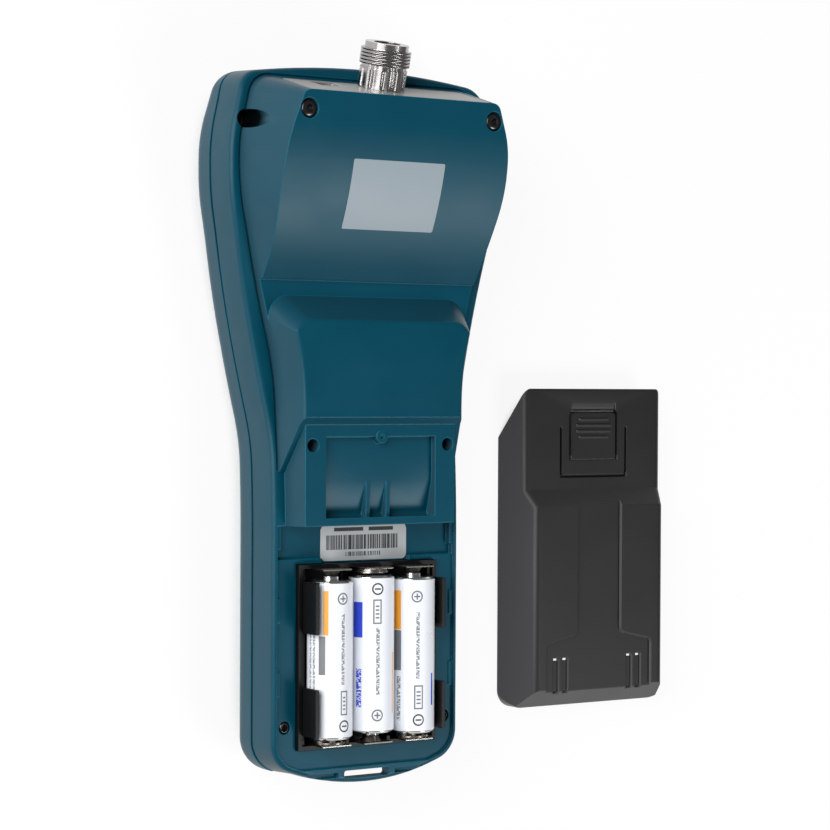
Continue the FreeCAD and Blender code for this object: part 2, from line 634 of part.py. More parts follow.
# ---- front housing and seal ----------------------------------------------------------------------
def keypad_field():
    """Corners of the field that the keys stand in."""
    across_margin, along_margin = KEY_MARGIN
    x = KEY_PITCH_X * (KEY_COLUMNS - 1) / 2 + KEY_WIDTH / 2 + across_margin
    return x, KEY_FIRST_Y - KEY_LENGTH / 2 - along_margin, POWER_KEY_Y + KEY_LENGTH / 2 + along_margin


def key_places():
    """Name, middle and size of every key."""
    places = []
    for row in range(KEY_ROWS):
        for column in range(KEY_COLUMNS):
            x = (column - (KEY_COLUMNS - 1) / 2) * KEY_PITCH_X
            # seen from the front the case is turned over, so the first column is at +X
            name = "key_%d_%d" % (KEY_ROWS - row, KEY_COLUMNS - column)
            places.append((name, x, KEY_FIRST_Y + row * KEY_PITCH_Y, KEY_WIDTH))
    places.append(("power_key", 0.0, POWER_KEY_Y, 1.4 * KEY_WIDTH))
    return places


def key_block(x, y, width, grow, z0, z1):
    return rounded_box(x - width / 2 - grow, x + width / 2 + grow, y - KEY_LENGTH / 2 - grow,
                       y + KEY_LENGTH / 2 + grow, z0, z1, KEY_R)


def flange_block(x, y, width, grow, z0, z1):
    return box(x - width / 2 - grow, x + width / 2 + grow, y - KEY_LENGTH / 2 - grow,
               y + KEY_LENGTH / 2 + grow, z0, z1)


def front_housing():
    shell = case_slab(0, -SADDLE, SEAM).common(below(SEAM)).cut(below(FRONT_FACE, 0))
    edge = [e for e in shell.Edges if e.BoundBox.ZMax < FRONT_FACE + 0.01 and outer_edge(e)]
    shell = shell.makeFillet(FRONT_EDGE_R, edge)
    x, y0, y1 = keypad_field()
    w = WINDOW_WIDTH / 2
    rim = rounded_box(-x - KEYPAD_RIM, x + KEYPAD_RIM, y0 - KEYPAD_RIM, y1 + KEYPAD_RIM,
                      0, FRONT_INSIDE, BEZEL_R)
    rim = rim.cut(rounded_box(-x, x, y0, y1, -1, FRONT_FACE + 2, BEZEL_R - KEYPAD_RIM + 1))
    bezel = rounded_box(-w - BEZEL, w + BEZEL, WINDOW_Y - BEZEL, WINDOW_Y + WINDOW_LENGTH + BEZEL,
                        0, FRONT_INSIDE, BEZEL_R)
    window = rounded_box(-w - FIT, w + FIT, WINDOW_Y - FIT, WINDOW_Y + WINDOW_LENGTH + FIT,
                         -1, WINDOW_RECESS + WINDOW_THICKNESS, 2.0)
    sight = box(-w + 3, w - 3, WINDOW_Y + 3, WINDOW_Y + WINDOW_LENGTH - 3, -1, FRONT_INSIDE + 1)
    curve = FRONT_EDGE_R - WALL
    soft = case_taper(WALL + curve, FRONT_INSIDE, WALL, FRONT_INSIDE + curve)
    inside = soft.fuse(case_slab(WALL, FRONT_INSIDE + curve, SEAM + 1))
    inside = inside.common(box(-REACH, REACH, FRONT_END + WALL, CASE_TOP, 0, BACK_HEIGHT))
    shell = shell.fuse([rim, bezel]).cut(inside)
    holes = [key_block(x, y, w, RUN, -1, FRONT_INSIDE + 1) for name, x, y, w in key_places()]
    shell = shell.cut(holes + [window, sight, box(-REACH, REACH, -9, FRONT_END, 0, RIM)])
    posts = []
    bores = []
    for x, y, z, r in screw_places().values():
        posts.append(post(POST_R, FRONT_INSIDE - 0.5, SEAM, x, y))
        bores.append(post(SCREW_R + THREAD_FIT, FRONT_INSIDE + 1, SEAM + 1, x, y))
    for x, y in board_screw_places():
        posts.append(post(SCREW_R + 1.4, FRONT_INSIDE - 0.5, BOARD_Z, x, y))
        bores.append(post(SCREW_R + THREAD_FIT, FRONT_INSIDE + 1, BOARD_Z + 1, x, y))
    posts = both_sides(posts[0].fuse(posts[1:])).common(case_slab(1, FRONT_INSIDE - 0.5, SEAM))
    posts = posts.common(below(SEAM))
    return one(shell.fuse(posts).cut(both_sides(bores[0].fuse(bores[1:]))))


def case_seal():
    """The thin seal in the seam, all round the case and across behind the lanyard lip."""
    low = SEAM - SADDLE - TOP_FALL
    ring = case_slab(0.5, low, REAR_BASE).cut(case_slab(WALL - 0.3, low - 1, REAR_BASE + 1))
    ring = ring.common(box(-REACH, REACH, FRONT_END + 0.5, CASE_TOP, 0, RIM))
    ring = ring.common(below(REAR_BASE)).cut(below(SEAM))
    end = box(-GRIP_WIDTH / 2 + 4, GRIP_WIDTH / 2 - 4, FRONT_END + 0.5, FRONT_END + WALL - 0.3,
              SEAM, REAR_BASE)
    return ring.fuse(end.common(case_slab(0.5, SEAM, REAR_BASE)))


# ---- behind the front: window, display, keys, board ----------------------------------------------
def display_window():
    w = WINDOW_WIDTH / 2
    return rounded_box(-w, w, WINDOW_Y, WINDOW_Y + WINDOW_LENGTH, WINDOW_RECESS,
                       WINDOW_RECESS + WINDOW_THICKNESS, 2.0)


def display_module():
    w = WINDOW_WIDTH / 2
    return box(-w + 1, w - 1, WINDOW_Y + 1, WINDOW_Y + WINDOW_LENGTH - 1, FRONT_INSIDE,
               BOARD_Z - DISPLAY_BACK)


def display_frame():
    w = WINDOW_WIDTH / 2 + 1
    y0, y1 = WINDOW_Y - 1, WINDOW_Y + WINDOW_LENGTH + 1
    t = DISPLAY_FRAME
    ring = box(-w, w, y0, y1, FRONT_INSIDE, BOARD_Z)
    return ring.cut(box(-w + t, w - t, y0 + t, y1 - t, 0, BOARD_Z - DISPLAY_BACK + FIT / 2))


def keypad_mat():
    x, y0, y1 = keypad_field()
    sheet = rounded_box(-x, x, y0, y1, FRONT_INSIDE, KEY_FLANGE_Z + KEY_FLANGE, KEY_R)
    holes = [flange_block(x, y, w, KEY_FLANGE + RUN, 0, BOARD_Z) for name, x, y, w in key_places()]
    for x, y, z, r in screw_places().values():
        holes.append(both_sides(post(POST_R + FIT, 0, BOARD_Z, x, y)))
    return one(sheet.cut(holes))


def key(x, y, width):
    """A key cap with the flange that keeps it behind the front."""
    cap = key_block(x, y, width, 0, KEY_RECESS, KEY_FLANGE_Z + KEY_FLANGE)
    rim = [e for e in cap.Edges if e.BoundBox.ZMax < KEY_RECESS + 0.01]
    cap = cap.makeChamfer(KEY_EDGE, rim)
    flange = flange_block(x, y, width, KEY_FLANGE, KEY_FLANGE_Z, KEY_FLANGE_Z + KEY_FLANGE)
    return one(cap.fuse(flange))


def dome_switches():
    domes = [prism(8, DOME_R, BOARD_Z - DOME, BOARD_Z, x, y) for name, x, y, w in key_places()]
    return Part.Compound(domes)


def board_screw_places():
    x, y0, y1 = keypad_field()
    a, b, c, d, e, f = BOARD_SCREW_REACH
    return [(x - a, y1 + b), (WINDOW_WIDTH / 2 - c, WINDOW_Y - d), (e, FRONT_END + f)]


def main_board():
    board = case_slab(WALL + BOARD_MARGIN, BOARD_Z, BOARD_TOP)
    board = board.common(box(-REACH, REACH, FRONT_END + WALL + BOARD_MARGIN / 2, CASE_TOP, 0, RIM))
    cuts = []
    for x, y, z, r in screw_places().values():
        cuts.append(post(POST_R + FIT, 0, RIM, x, y))
    for x, y in board_screw_places():
        cuts.append(post(SCREW_R + FIT / 2, 0, RIM, x, y))
    return board.cut(both_sides(cuts[0].fuse(cuts[1:])))


def board_screws():
    screws = []
    r, height, socket = BOARD_SCREW_HEAD
    top = BOARD_TOP + height
    for x, y in board_screw_places():
        screw = post(SCREW_R, FRONT_INSIDE + 1 + FIT, BOARD_TOP, x, y)
        screw = screw.fuse(post(r, BOARD_TOP, top, x, y))
        screw = screw.cut(prism(6, socket, top - height / 2, top + 1, x, y))
        screws += [screw, screw.mirror(V(0, 0, 0), V(1, 0, 0))]
    return Part.Compound(screws)


def rf_shield():
    w, length, h = RF_SHIELD
    can = rounded_box(-w / 2, w / 2, RF_SHIELD_Y, RF_SHIELD_Y + length, BOARD_TOP, BOARD_TOP + h, 1.0)
    t = SHIELD_WALL
    inner = box(-w / 2 + t, w / 2 - t, RF_SHIELD_Y + t, RF_SHIELD_Y + length - t, 0, BOARD_TOP + h - t)
    return can.cut(inner)


def radio_module():
    width, length, thick, can_height = RADIO_MODULE
    x, y = RADIO_MODULE_PLACE
    w, half, m = width / 2, length / 2, RADIO_CAN_MARGIN
    base = box(x - w, x + w, y - half, y + half, BOARD_TOP, BOARD_TOP + thick)
    can = box(x - w + m, x + w - 4 * m, y - half + m, y + half - m, BOARD_TOP + thick,
              BOARD_TOP + thick + can_height)
    return base.fuse(can)


def buzzer():
    r, height, hole = BUZZER
    x, y = BUZZER_PLACE
    can = post(r, BOARD_TOP, BOARD_TOP + height, x, y)
    return can.cut(post(hole, BOARD_TOP + height / 2, BOARD_TOP + height + 1, x, y))


# ---- top panel, connector and USB socket ---------------------------------------------------------
def top_panel():
    w = PANEL_WIDTH / 2
    plate = rounded_box(-w, w, -PANEL_UP, PANEL_DOWN, -PANEL_THICKNESS, 0, 2.0)
    plate = plate.cut(post(NECK_R + FIT, -5, 5))
    plate = plate.cut(box(USB_X - USB_WIDTH / 2 - FIT, USB_X + USB_WIDTH / 2 + FIT,
                          -USB_HEIGHT / 2 - FIT, USB_HEIGHT / 2 + FIT, -5, 5))
    return on_panel(plate)


def connector_shell():
    """The socket: fluted collar, neck, thread, plain rim, and the tail behind the panel."""
    z1 = COLLAR
    z2 = z1 + NECK
    z3 = CONNECTOR_RISE - RIM_LENGTH
    steps = [(NECK_R, -CONNECTOR_TAIL, 0), (COLLAR_R, 0, z1), (NECK_R, z1, z2), (THREAD_R, z2, z3),
             (RIM_R, z3, CONNECTOR_RISE)]
    body = Part.makeCylinder(steps[0][0], steps[0][2] - steps[0][1], V(0, 0, steps[0][1]))
    for r, a, b in steps[1:]:
        body = body.fuse(Part.makeCylinder(r, b - a, V(0, 0, a)))
    body = body.cut(Part.makeCylinder(SOCKET_BORE_R, CONNECTOR_RISE + CONNECTOR_TAIL + 2,
                                      V(0, 0, -CONNECTOR_TAIL - 1)))
    flutes = []
    count, r, outside = FLUTE
    for i in range(count):
        flute = Part.makeCylinder(r, z1 - 2 * outside, V(COLLAR_R + outside, 0, outside))
        flute.rotate(V(0, 0, 0), UP, 360 / count * i)
        flutes.append(flute)
    return on_panel(one(body.cut(flutes)))


def connector_insulator():
    length = CONNECTOR_TAIL + CONNECTOR_RISE - INSULATOR_DEPTH
    body = post(SOCKET_BORE_R, -CONNECTOR_TAIL, length - CONNECTOR_TAIL)
    return on_panel(body.cut(post(CONTACT_R, -CONNECTOR_TAIL - 1, CONNECTOR_RISE)))


def connector_contact():
    r, depth = CONTACT_BORE
    end = CONNECTOR_RISE - CONTACT_DEPTH
    return on_panel(post(CONTACT_R, -CONNECTOR_TAIL, end).cut(post(r, end - depth, end + 1)))


def connector_nut():
    """The nut that clamps the socket behind the panel."""
    behind = -PANEL_THICKNESS - WALL
    return on_panel(prism(6, NUT_R, behind - NUT, behind).cut(post(NECK_R, -20, 5)))


def usb_socket():
    w, h = USB_WIDTH / 2, USB_HEIGHT / 2
    width, thick = USB_TONGUE
    back = -USB_DEPTH + 2 * USB_WALL
    shell = box(USB_X - w, USB_X + w, -h, h, -USB_DEPTH, -FIT)
    mouth = box(USB_X - w + USB_WALL, USB_X + w - USB_WALL, -h + USB_WALL, h - USB_WALL, back, 1)
    tongue = box(USB_X - width / 2, USB_X + width / 2, h - USB_WALL - thick, h - USB_WALL, back - USB_WALL,
                 -2 * USB_WALL)
    return on_panel(shell.cut(mouth).fuse(tongue))


# ---- battery tray, contacts and cells ------------------------------------------------------------
def battery_tray():
    x = TRAY_HALF
    y0, y1 = TRAY_Y, TRAY_Y + TRAY_LENGTH
    tray = box(-x, x, y0, y1, TRAY_BASE, TRAY_RIM)
    tray = tray.cut(box(-x + TRAY_WALL, x - TRAY_WALL, y0 + TRAY_WALL, y1 - TRAY_WALL,
                        TRAY_BASE + TRAY_FLOOR, TRAY_RIM + 1))
    face = CELL_PITCH + CELL_R + RUN
    cheeks = []
    for a, b in TRAY_TABS:
        cheeks.append(box(face, face + TRAY_TAB_WALL, a, b, TRAY_BASE, TRAY_TAB_TOP))
    cheeks.append(box(face, face + TRAY_TAB_WALL, y0, y1, TRAY_BASE, TRAY_RIM - 1))
    thin, thick, under = TRAY_RIB
    middle = CELL_PITCH / 2
    ends = [(y0, y0 + TRAY_WALL + thick), (y1 - TRAY_WALL - thick, y1)]
    ribs = [box(middle - thin / 2, middle + thin / 2, y0, y1, TRAY_BASE, CELL_Z - under)]
    for a, b in ends:
        ribs.append(box(middle - thick / 2, middle + thick / 2, a, b, TRAY_BASE, TRAY_RIM))
    return one(tray.fuse(both_sides(cheeks[0].fuse(cheeks[1:] + ribs))))


def cell_ends():
    """X of each cell, and which way its positive end points."""
    return [("left", -CELL_PITCH, 1), ("middle", 0.0, -1), ("right", CELL_PITCH, 1)]


def along_cell(r, a, b, x, way):
    """A cylinder on a cell's axis between two distances from its middle, positive end first."""
    lo, hi = (a, b) if way > 0 else (-b, -a)
    return Part.makeCylinder(r, hi - lo, V(x, CELL_Y + lo, CELL_Z), V(0, 1, 0))


def cell_can(x, way):
    half = CELL_LENGTH / 2
    can = along_cell(CELL_R - SLEEVE_WALL, -half, half - CELL_NUB, x, way)
    edges = [e for e in can.Edges if abs(e.Length - 2 * math.pi * (CELL_R - SLEEVE_WALL)) < 0.1]
    can = can.makeChamfer(CELL_EDGE, edges)
    return can.fuse(along_cell(CELL_NUB_R, half - CELL_NUB - 0.1, half, x, way))


def cell_sleeve(x, way):
    half = CELL_LENGTH / 2
    a, b = -half + SLEEVE_SHORT, half - CELL_NUB - SLEEVE_SHORT
    return along_cell(CELL_R, a, b, x, way).cut(along_cell(CELL_R - SLEEVE_WALL, a - 1, b + 1, x, way))


def contact_springs():
    """A conical coil at each negative end, and the plate that it is wound from."""
    springs = []
    half = SPRING_WIRE / 2
    for name, x, way in cell_ends():
        wall = TRAY_Y + TRAY_WALL if way > 0 else TRAY_Y + TRAY_LENGTH - TRAY_WALL
        coil_length = SPRING_GAP - CONTACT_PLATE - SPRING_WIRE - FIT
        wire = Part.Wire(Part.makeHelix(SPRING_PITCH, coil_length, SPRING_R, SPRING_LEAN).Edges)
        start = wire.Vertexes[0].Point
        square = ((-half, -half), (half, -half), (half, half), (-half, half))
        corners = [start + V(a, 0, b) for a, b in square]
        coil = wire.makePipeShell([Part.makePolygon(corners + corners[:1])], True, True)
        coil.translate(V(0, 0, half - 0.1))
        coil.rotate(V(0, 0, 0), V(1, 0, 0), -90 * way)
        coil.translate(V(x, wall + way * CONTACT_PLATE, CELL_Z))
        springs.append(contact_plate(x, wall, way).fuse(coil))
    return Part.Compound(springs)


def contact_plate(x, wall, way):
    """The plate of a contact, flat against the tray's end wall."""
    far = wall + way * CONTACT_PLATE
    return box(x - CONTACT_WIDTH / 2, x + CONTACT_WIDTH / 2, min(wall, far), max(wall, far),
               TRAY_BASE + TRAY_FLOOR, CELL_Z + SPRING_R)


def contact_plates():
    """A sprung plate at each positive end."""
    plates = []
    for name, x, way in cell_ends():
        wall = TRAY_Y + TRAY_LENGTH - TRAY_WALL if way > 0 else TRAY_Y + TRAY_WALL
        reach = SPRING_GAP - CONTACT_PLATE - FIT
        nub = Part.makeCone(3.4, 2.2, reach, V(x, wall - way * CONTACT_PLATE, CELL_Z), V(0, -way, 0))
        plates.append(contact_plate(x, wall, -way).fuse(nub))
    return Part.Compound(plates)


# ---- screws and labels ---------------------------------------------------------------------------
def case_screws(which):
    x, y, z, r = screw_places()[which]
    top = z + HEAD_HEIGHT
    screw = post(SCREW_R, SEAM - SCREW_BITE, z + 0.1, x, y).fuse(post(r, z, top, x, y))
    rim = [e for e in screw.Edges if e.BoundBox.ZMin > top - 0.01]
    if which == "top":
        screw = screw.makeFillet(DOME_HEAD_R, rim)
    else:
        screw = screw.makeChamfer(HEAD_EDGE, rim)
    screw = screw.cut(prism(6, SOCKET_R, top - HEAD_HEIGHT * 0.7, top + 1, x, y))
    return Part.Compound([screw, screw.mirror(V(0, 0, 0), V(1, 0, 0))])


def rear_label():
    """A thin plate that follows the slope of the back."""
    w, length, t = REAR_LABEL
    sheet = rounded_box(-w / 2, w / 2, REAR_LABEL_Y, REAR_LABEL_Y + length, RIM, BACK_HEIGHT,
                        LABEL_CORNER_R[0])
    outer = across(back_profile(-t), REACH)
    return sheet.common(outer).cut(across(back_profile(0), REACH))


def bay_label():
    w, length, t = BAY_LABEL
    z = BAY_FLOOR - BAY_POCKET
    return rounded_box(-w / 2, w / 2, BAY_LABEL_Y, BAY_LABEL_Y + length, z, z + t,
                       LABEL_CORNER_R[1])


# ---- battery cover -------------------------------------------------------------------------------
def cover_form(shrink):
    """Outer form of the cover as it sits on the case, or its inside when shrink is the wall."""
    level = PAD_HEIGHT - shrink
    bulge = PAD_HEIGHT + COVER_BULGE - shrink
    base = RIM if shrink == 0 else RIM - 1
    y_low = COVER_END_Y + shrink
    foot = COVER_FOOT_WIDTH / 2 - shrink
    lean = (COVER_FOOT_WIDTH - COVER_TOP_WIDTH) / 2 / (PAD_HEIGHT - RIM)
    top = foot - (bulge - base) * lean
    section = Part.makePolygon([V(-foot, 0, base), V(foot, 0, base), V(top, 0, bulge), V(-top, 0, bulge),
                                V(-foot, 0, base)])
    form = Part.Face(section).extrude(V(0, COVER_EDGE_Y + 5, 0))
    edge = COVER_EDGE_Y - COVER_GAP - shrink
    side = [(y_low, base), (COVER_FLANK_Y - COVER_GAP - shrink, base), (edge, level), (BULGE_TOP[0], level),
            (BULGE_TOP[1], bulge), (y_low + 6.5, bulge), (y_low, base + 5.5)]
    form = form.common(across(side, REACH))
    plan = rounded_box(-foot, foot, y_low, 2 * COVER_EDGE_Y, 0, REACH, COVER_CORNER_R - shrink)
    return form.common(plan)


def cover_outside():
    form = cover_form(0)
    long_edges = []
    for e in form.Edges:
        size = e.BoundBox
        if size.ZMin > PAD_HEIGHT - 0.5 and size.XLength < 2 and size.YLength > 3:
            long_edges.append(e)
    return form.makeFillet(COVER_EDGE_R, long_edges)


def strap_recess(grow, z, height):
    """The shallow channel down the middle of the cover, widening at its foot."""
    w = STRAP_WIDTH / 2 + grow
    f = STRAP_FOOT[0] / 2 + grow
    y_top = BULGE_TOP[1] + 3 + grow
    y_wide = COVER_END_Y + STRAP_FOOT[1] + grow
    y_end = COVER_END_Y - 5
    right = [(f, y_end, 0.1), (f, y_wide, 2.0), (w, y_wide + STRAP_EASE, 2.0), (w, y_top, 2.5)]
    left = [(-x, y, r) for x, y, r in reversed(right)]
    return Part.Face(rounded_loop(right + left, z)).extrude(V(0, 0, height))


def rib_of_slot(points, width, z):
    """A slot of even width along a run of upright and level lines, from z upwards."""
    half = width / 2
    pieces = []
    for (x0, y0), (x1, y1) in zip(points, points[1:]):
        pieces.append(box(min(x0, x1) - half, max(x0, x1) + half, min(y0, y1) - half, max(y0, y1) + half,
                          z, z + 9))
    return pieces[0].fuse(pieces[1:])


def latch_cuts():
    """The room round the tongue, the groove that frames it, and the thumb dip."""
    half = LATCH_WIDTH / 2 + LATCH_SLOT
    y0, y1 = LATCH_Y
    z = PAD_HEIGHT - COVER_WALL - 1
    room = rounded_box(-half, half, y0 - HINGE_GAP, y1 + LATCH_SLOT, z, z + 9, LATCH_CORNER_R)
    square = box(-half, half, y0 - HINGE_GAP, y0 + LATCH_CORNER_R + 1, z, z + 9)
    width, low, high = LATCH_FRAME
    x = width / 2
    frame = rib_of_slot([(-x, high), (-x, low), (x, low), (x, high)], LATCH_SLOT, PAD_HEIGHT - FRAME_DEPTH)
    thumb_w, thumb_l, thumb_d = THUMB
    dip = across([(y1, PAD_HEIGHT - thumb_d), (y1 + thumb_l, PAD_HEIGHT), (y1 + thumb_l, PAD_HEIGHT + 1),
                  (y1, PAD_HEIGHT + 1)], thumb_w / 2)
    return room.fuse([square, frame, dip])


def vent_cuts():
    """Four long sunk windows over the contacts, each open only at its two ends."""
    width, length, depth = VENT
    top = PAD_HEIGHT + COVER_BULGE - STRAP_RECESS
    cuts = []
    for x in VENT_X:
        cuts.append(box(x - width / 2, x + width / 2, VENT_Y, VENT_Y + length, top - depth, top + 5))
        for y in (VENT_Y, VENT_Y + length - VENT_SLIT):
            cuts.append(box(x - width / 2, x + width / 2, y, y + VENT_SLIT, RIM + 4, top + 5))
    return both_sides(cuts[0].fuse(cuts[1:]))


def cover_on_case():
    outside = cover_outside()
    z = PAD_HEIGHT + COVER_BULGE - STRAP_RECESS
    skin = strap_recess(COVER_WALL, z - COVER_WALL, COVER_WALL).common(outside)
    shell = outside.cut(cover_form(COVER_WALL)).fuse(skin).cut(strap_recess(0, z, 9))
    width, length, height = NOTCH
    notch = box(-width / 2, width / 2, COVER_END_Y - 1, COVER_END_Y + length, RIM - 1, RIM + height)
    gap, thick = LATCH_STOP
    low = PAD_HEIGHT - COVER_WALL - thick
    half = LATCH_WIDTH / 2 + 2
    stop = box(-half, half, LATCH_Y[1] + gap, LATCH_Y[1] + 3, low, low + thick + 0.2)
    return one(shell.cut([latch_cuts(), vent_cuts(), notch]).fuse(stop))


def latch_on_case():
    """The tongue that is pressed to free the cover, with its rounded root, grip ribs and hook."""
    y0, y1 = LATCH_Y
    half = LATCH_WIDTH / 2
    r = COVER_WALL / 2
    axis_z = PAD_HEIGHT - r
    plate = rounded_box(-half, half, y0 + r, y1, PAD_HEIGHT - COVER_WALL, PAD_HEIGHT, 0.8)
    square = box(-half, half, y0 + r, y0 + 3, PAD_HEIGHT - COVER_WALL, PAD_HEIGHT)
    root = Part.makeCylinder(r, LATCH_WIDTH, V(-half, y0 + r, axis_z), V(1, 0, 0))
    root = root.fuse(box(-half, half, y0, y0 + r, axis_z, PAD_HEIGHT))
    thumb_w, thumb_l, thumb_d = THUMB
    lead = [(y1 + 1, PAD_HEIGHT - thumb_d), (y1 + 1, PAD_HEIGHT + 1), (y1 - thumb_d, PAD_HEIGHT)]
    lead = across(lead, half)
    plate = plate.fuse([square, root]).cut(lead)
    ribs = []
    for y, length in GRIP_RIBS:
        width, height = GRIP_RIB
        ribs.append(box(-length / 2, length / 2, y - width / 2, y + width / 2, axis_z, PAD_HEIGHT + height))
    width, thick, reach = HOOK
    hook = box(-width / 2, width / 2, y1 - thick, y1, PAD_HEIGHT - COVER_WALL - reach, axis_z)
    return one(plate.fuse(ribs + [hook]))


def off_the_case(shape):
    """Lay a piece of the cover on the bench beside the case."""
    shape.translate(V(COVER_X, COVER_Y, -RIM))
    return shape


# ---- write every node ----------------------------------------------------------------------------
def all_nodes():
    nodes = {"rear_housing": rear_housing(), "front_housing": front_housing(), "case_seal": case_seal(),
             "display_window": display_window(), "display_module": display_module(),
             "display_frame": display_frame(), "keypad_mat": keypad_mat(), "dome_switches": dome_switches(),
             "main_board": main_board(), "board_screws": board_screws(), "rf_shield": rf_shield(),
             "radio_module": radio_module(), "buzzer": buzzer(), "top_panel": top_panel(),
             "connector_shell": connector_shell(), "connector_insulator": connector_insulator(),
             "connector_contact": connector_contact(), "connector_nut": connector_nut(),
             "usb_socket": usb_socket(), "battery_tray": battery_tray(),
             "contact_springs": contact_springs(), "contact_plates": contact_plates(),
             "rear_label": rear_label(), "bay_label": bay_label()}
    for which in screw_places():
        nodes["case_screws_" + which] = case_screws(which)
    for name, x, y, width in key_places():
        nodes[name] = key(x, y, width)
    for name, x, way in cell_ends():
        nodes["cell_%s_can" % name] = cell_can(x, way)
        nodes["cell_%s_sleeve" % name] = cell_sleeve(x, way)
    nodes["battery_cover"] = off_the_case(cover_on_case())
    nodes["cover_latch"] = off_the_case(latch_on_case())
    return nodes


os.makedirs("parts", exist_ok=True)
for node, shape in all_nodes().items():
    shape = shape.copy()
    shape.translate(V(0, -(CASE_TOP + CASE_BOTTOM) / 2, 0))
    if not shape.isValid():
        print("not valid:", node)
    print("%-22s solids %2d  volume %9.1f  z %6.2f to %6.2f" % (
        node, len(shape.Solids), shape.Volume, shape.BoundBox.ZMin, shape.BoundBox.ZMax))
    shape.exportStep("parts/%s.step" % node)
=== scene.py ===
import bmesh
import bpy
import math
from mathutils import Matrix, Vector


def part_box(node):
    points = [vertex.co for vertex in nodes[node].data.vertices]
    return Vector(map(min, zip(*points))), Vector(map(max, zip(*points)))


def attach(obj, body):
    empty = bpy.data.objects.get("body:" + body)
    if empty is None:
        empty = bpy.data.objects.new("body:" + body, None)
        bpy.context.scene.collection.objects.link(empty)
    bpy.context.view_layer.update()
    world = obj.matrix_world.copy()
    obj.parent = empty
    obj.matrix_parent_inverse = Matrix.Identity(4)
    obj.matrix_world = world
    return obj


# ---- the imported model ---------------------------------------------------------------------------
# A hand-held antenna analyzer lies face down on a bench, with its battery cover beside it.
# Y runs along the case to the antenna socket, Z out of its back; metres throughout.
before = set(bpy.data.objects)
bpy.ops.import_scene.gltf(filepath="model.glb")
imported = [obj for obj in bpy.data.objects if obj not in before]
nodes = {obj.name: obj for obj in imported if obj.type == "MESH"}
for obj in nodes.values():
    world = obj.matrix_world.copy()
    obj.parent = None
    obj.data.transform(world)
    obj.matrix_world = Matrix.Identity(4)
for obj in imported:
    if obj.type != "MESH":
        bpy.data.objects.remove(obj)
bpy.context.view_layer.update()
MM = 0.001

# ---- camera ----------------------------------------------------------------------------------------
# It looks down on the bench from the left of the case, through a long lens, with the case upright
# in view.  The angles turn it from straight down.
SWING = math.radians(33.17)
NOD = math.radians(0.6648)
ROLL = math.radians(-0.2768)
camera = bpy.data.objects.new("camera", bpy.data.cameras.new("camera"))
camera.data.sensor_width = 36.0
camera.data.lens = 108.43
camera.location = (-0.41995, 0.01271, 0.69738)
camera.rotation_mode = "ZXY"
camera.rotation_euler = (-NOD, -SWING, -ROLL)
camera.data.clip_end = 20.0
bpy.context.scene.collection.objects.link(camera)
bpy.context.scene.camera = camera
bpy.context.scene.view_settings.view_transform = "Standard"


# ---- studio ----------------------------------------------------------------------------------------
# A softbox past the grip end lights the slopes of the back, a wide one on the left fills in, and
# the bench is a sheet of white card that the sides of the case pick up.
def softbox(name, place, size, watts):
    """A square lamp at place, aimed at the middle of the bench."""
    lamp = bpy.data.objects.new(name, bpy.data.lights.new(name, "AREA"))
    lamp.data.size = size
    lamp.data.energy = watts
    lamp.location = place
    lamp.rotation_euler = Vector(place).to_track_quat("Z", "Y").to_euler()
    bpy.context.scene.collection.objects.link(lamp)


softbox("softbox_grip_end", (0.52, -0.58, 0.87), 0.5, 8.5)
softbox("softbox_left", (-1.0, 0.35, 0.62), 1.0, 21.0)
world = bpy.data.worlds.new("studio")
world.use_nodes = True
world.node_tree.nodes["Background"].inputs["Color"].default_value = (0.16, 0.165, 0.17, 1.0)
bpy.context.scene.world = world


class Wire:
    """A value inside a material.  Sums, products and comparisons of it become Math nodes."""

    def __init__(self, tree, socket):
        self.tree = tree
        self.socket = socket

    def node(self, kind, settings, sockets, output=0):
        """Add a node: its settings first, then the values or links of its sockets."""
        made = self.tree.nodes.new(kind)
        for name, value in settings.items():
            setattr(made, name, value)
        for name, value in sockets.items():
            if isinstance(value, Wire):
                self.tree.links.new(value.socket, made.inputs[name])
            else:
                made.inputs[name].default_value = value
        return Wire(self.tree, made.outputs[output])

    def math(self, operation, other=0.0, third=0.0):
        return self.node("ShaderNodeMath", {"operation": operation}, {0: self, 1: other, 2: third})

    def __add__(self, other):
        return self.math("ADD", other)

    def __sub__(self, other):
        return self.math("SUBTRACT", other)

    def __rsub__(self, other):
        return self.math("MULTIPLY_ADD", -1.0, other)

    def __mul__(self, other):
        return self.math("MULTIPLY", other)

    def __truediv__(self, other):
        return self.math("DIVIDE", other)

    def __gt__(self, other):
        return self.math("GREATER_THAN", other)

    def __lt__(self, other):
        return self.math("LESS_THAN", other)

    def __abs__(self):
        return self.math("ABSOLUTE")

    __radd__ = __add__
    __rmul__ = __mul__

    def axis(self, letter):
        """One coordinate of a vector."""
        parts = self.tree.nodes.new("ShaderNodeSeparateXYZ")
        self.tree.links.new(self.socket, parts.inputs[0])
        return Wire(self.tree, parts.outputs[letter])

    def blend(self, a, b):
        """Colour a where this is 0 and colour b where it is 1."""
        return self.node("ShaderNodeMix", {"data_type": "RGBA"}, {0: self, 6: a, 7: b}, 2)

    def noise(self, scale, detail=2.0):
        return self.node("ShaderNodeTexNoise", {}, {"Vector": self, "Scale": scale, "Detail": detail})

    def near(self, centre, reach):
        """1 where this lies within reach of centre, 0 elsewhere."""
        return abs(self - centre) < reach


def rgb(red, green, blue):
    """A colour as it is written for screens, as the shader counts it."""
    linear = [(c / 255 / 12.92 if c < 11 else ((c / 255 + 0.055) / 1.055) ** 2.4)
              for c in (red, green, blue)]
    return (*linear, 1.0)


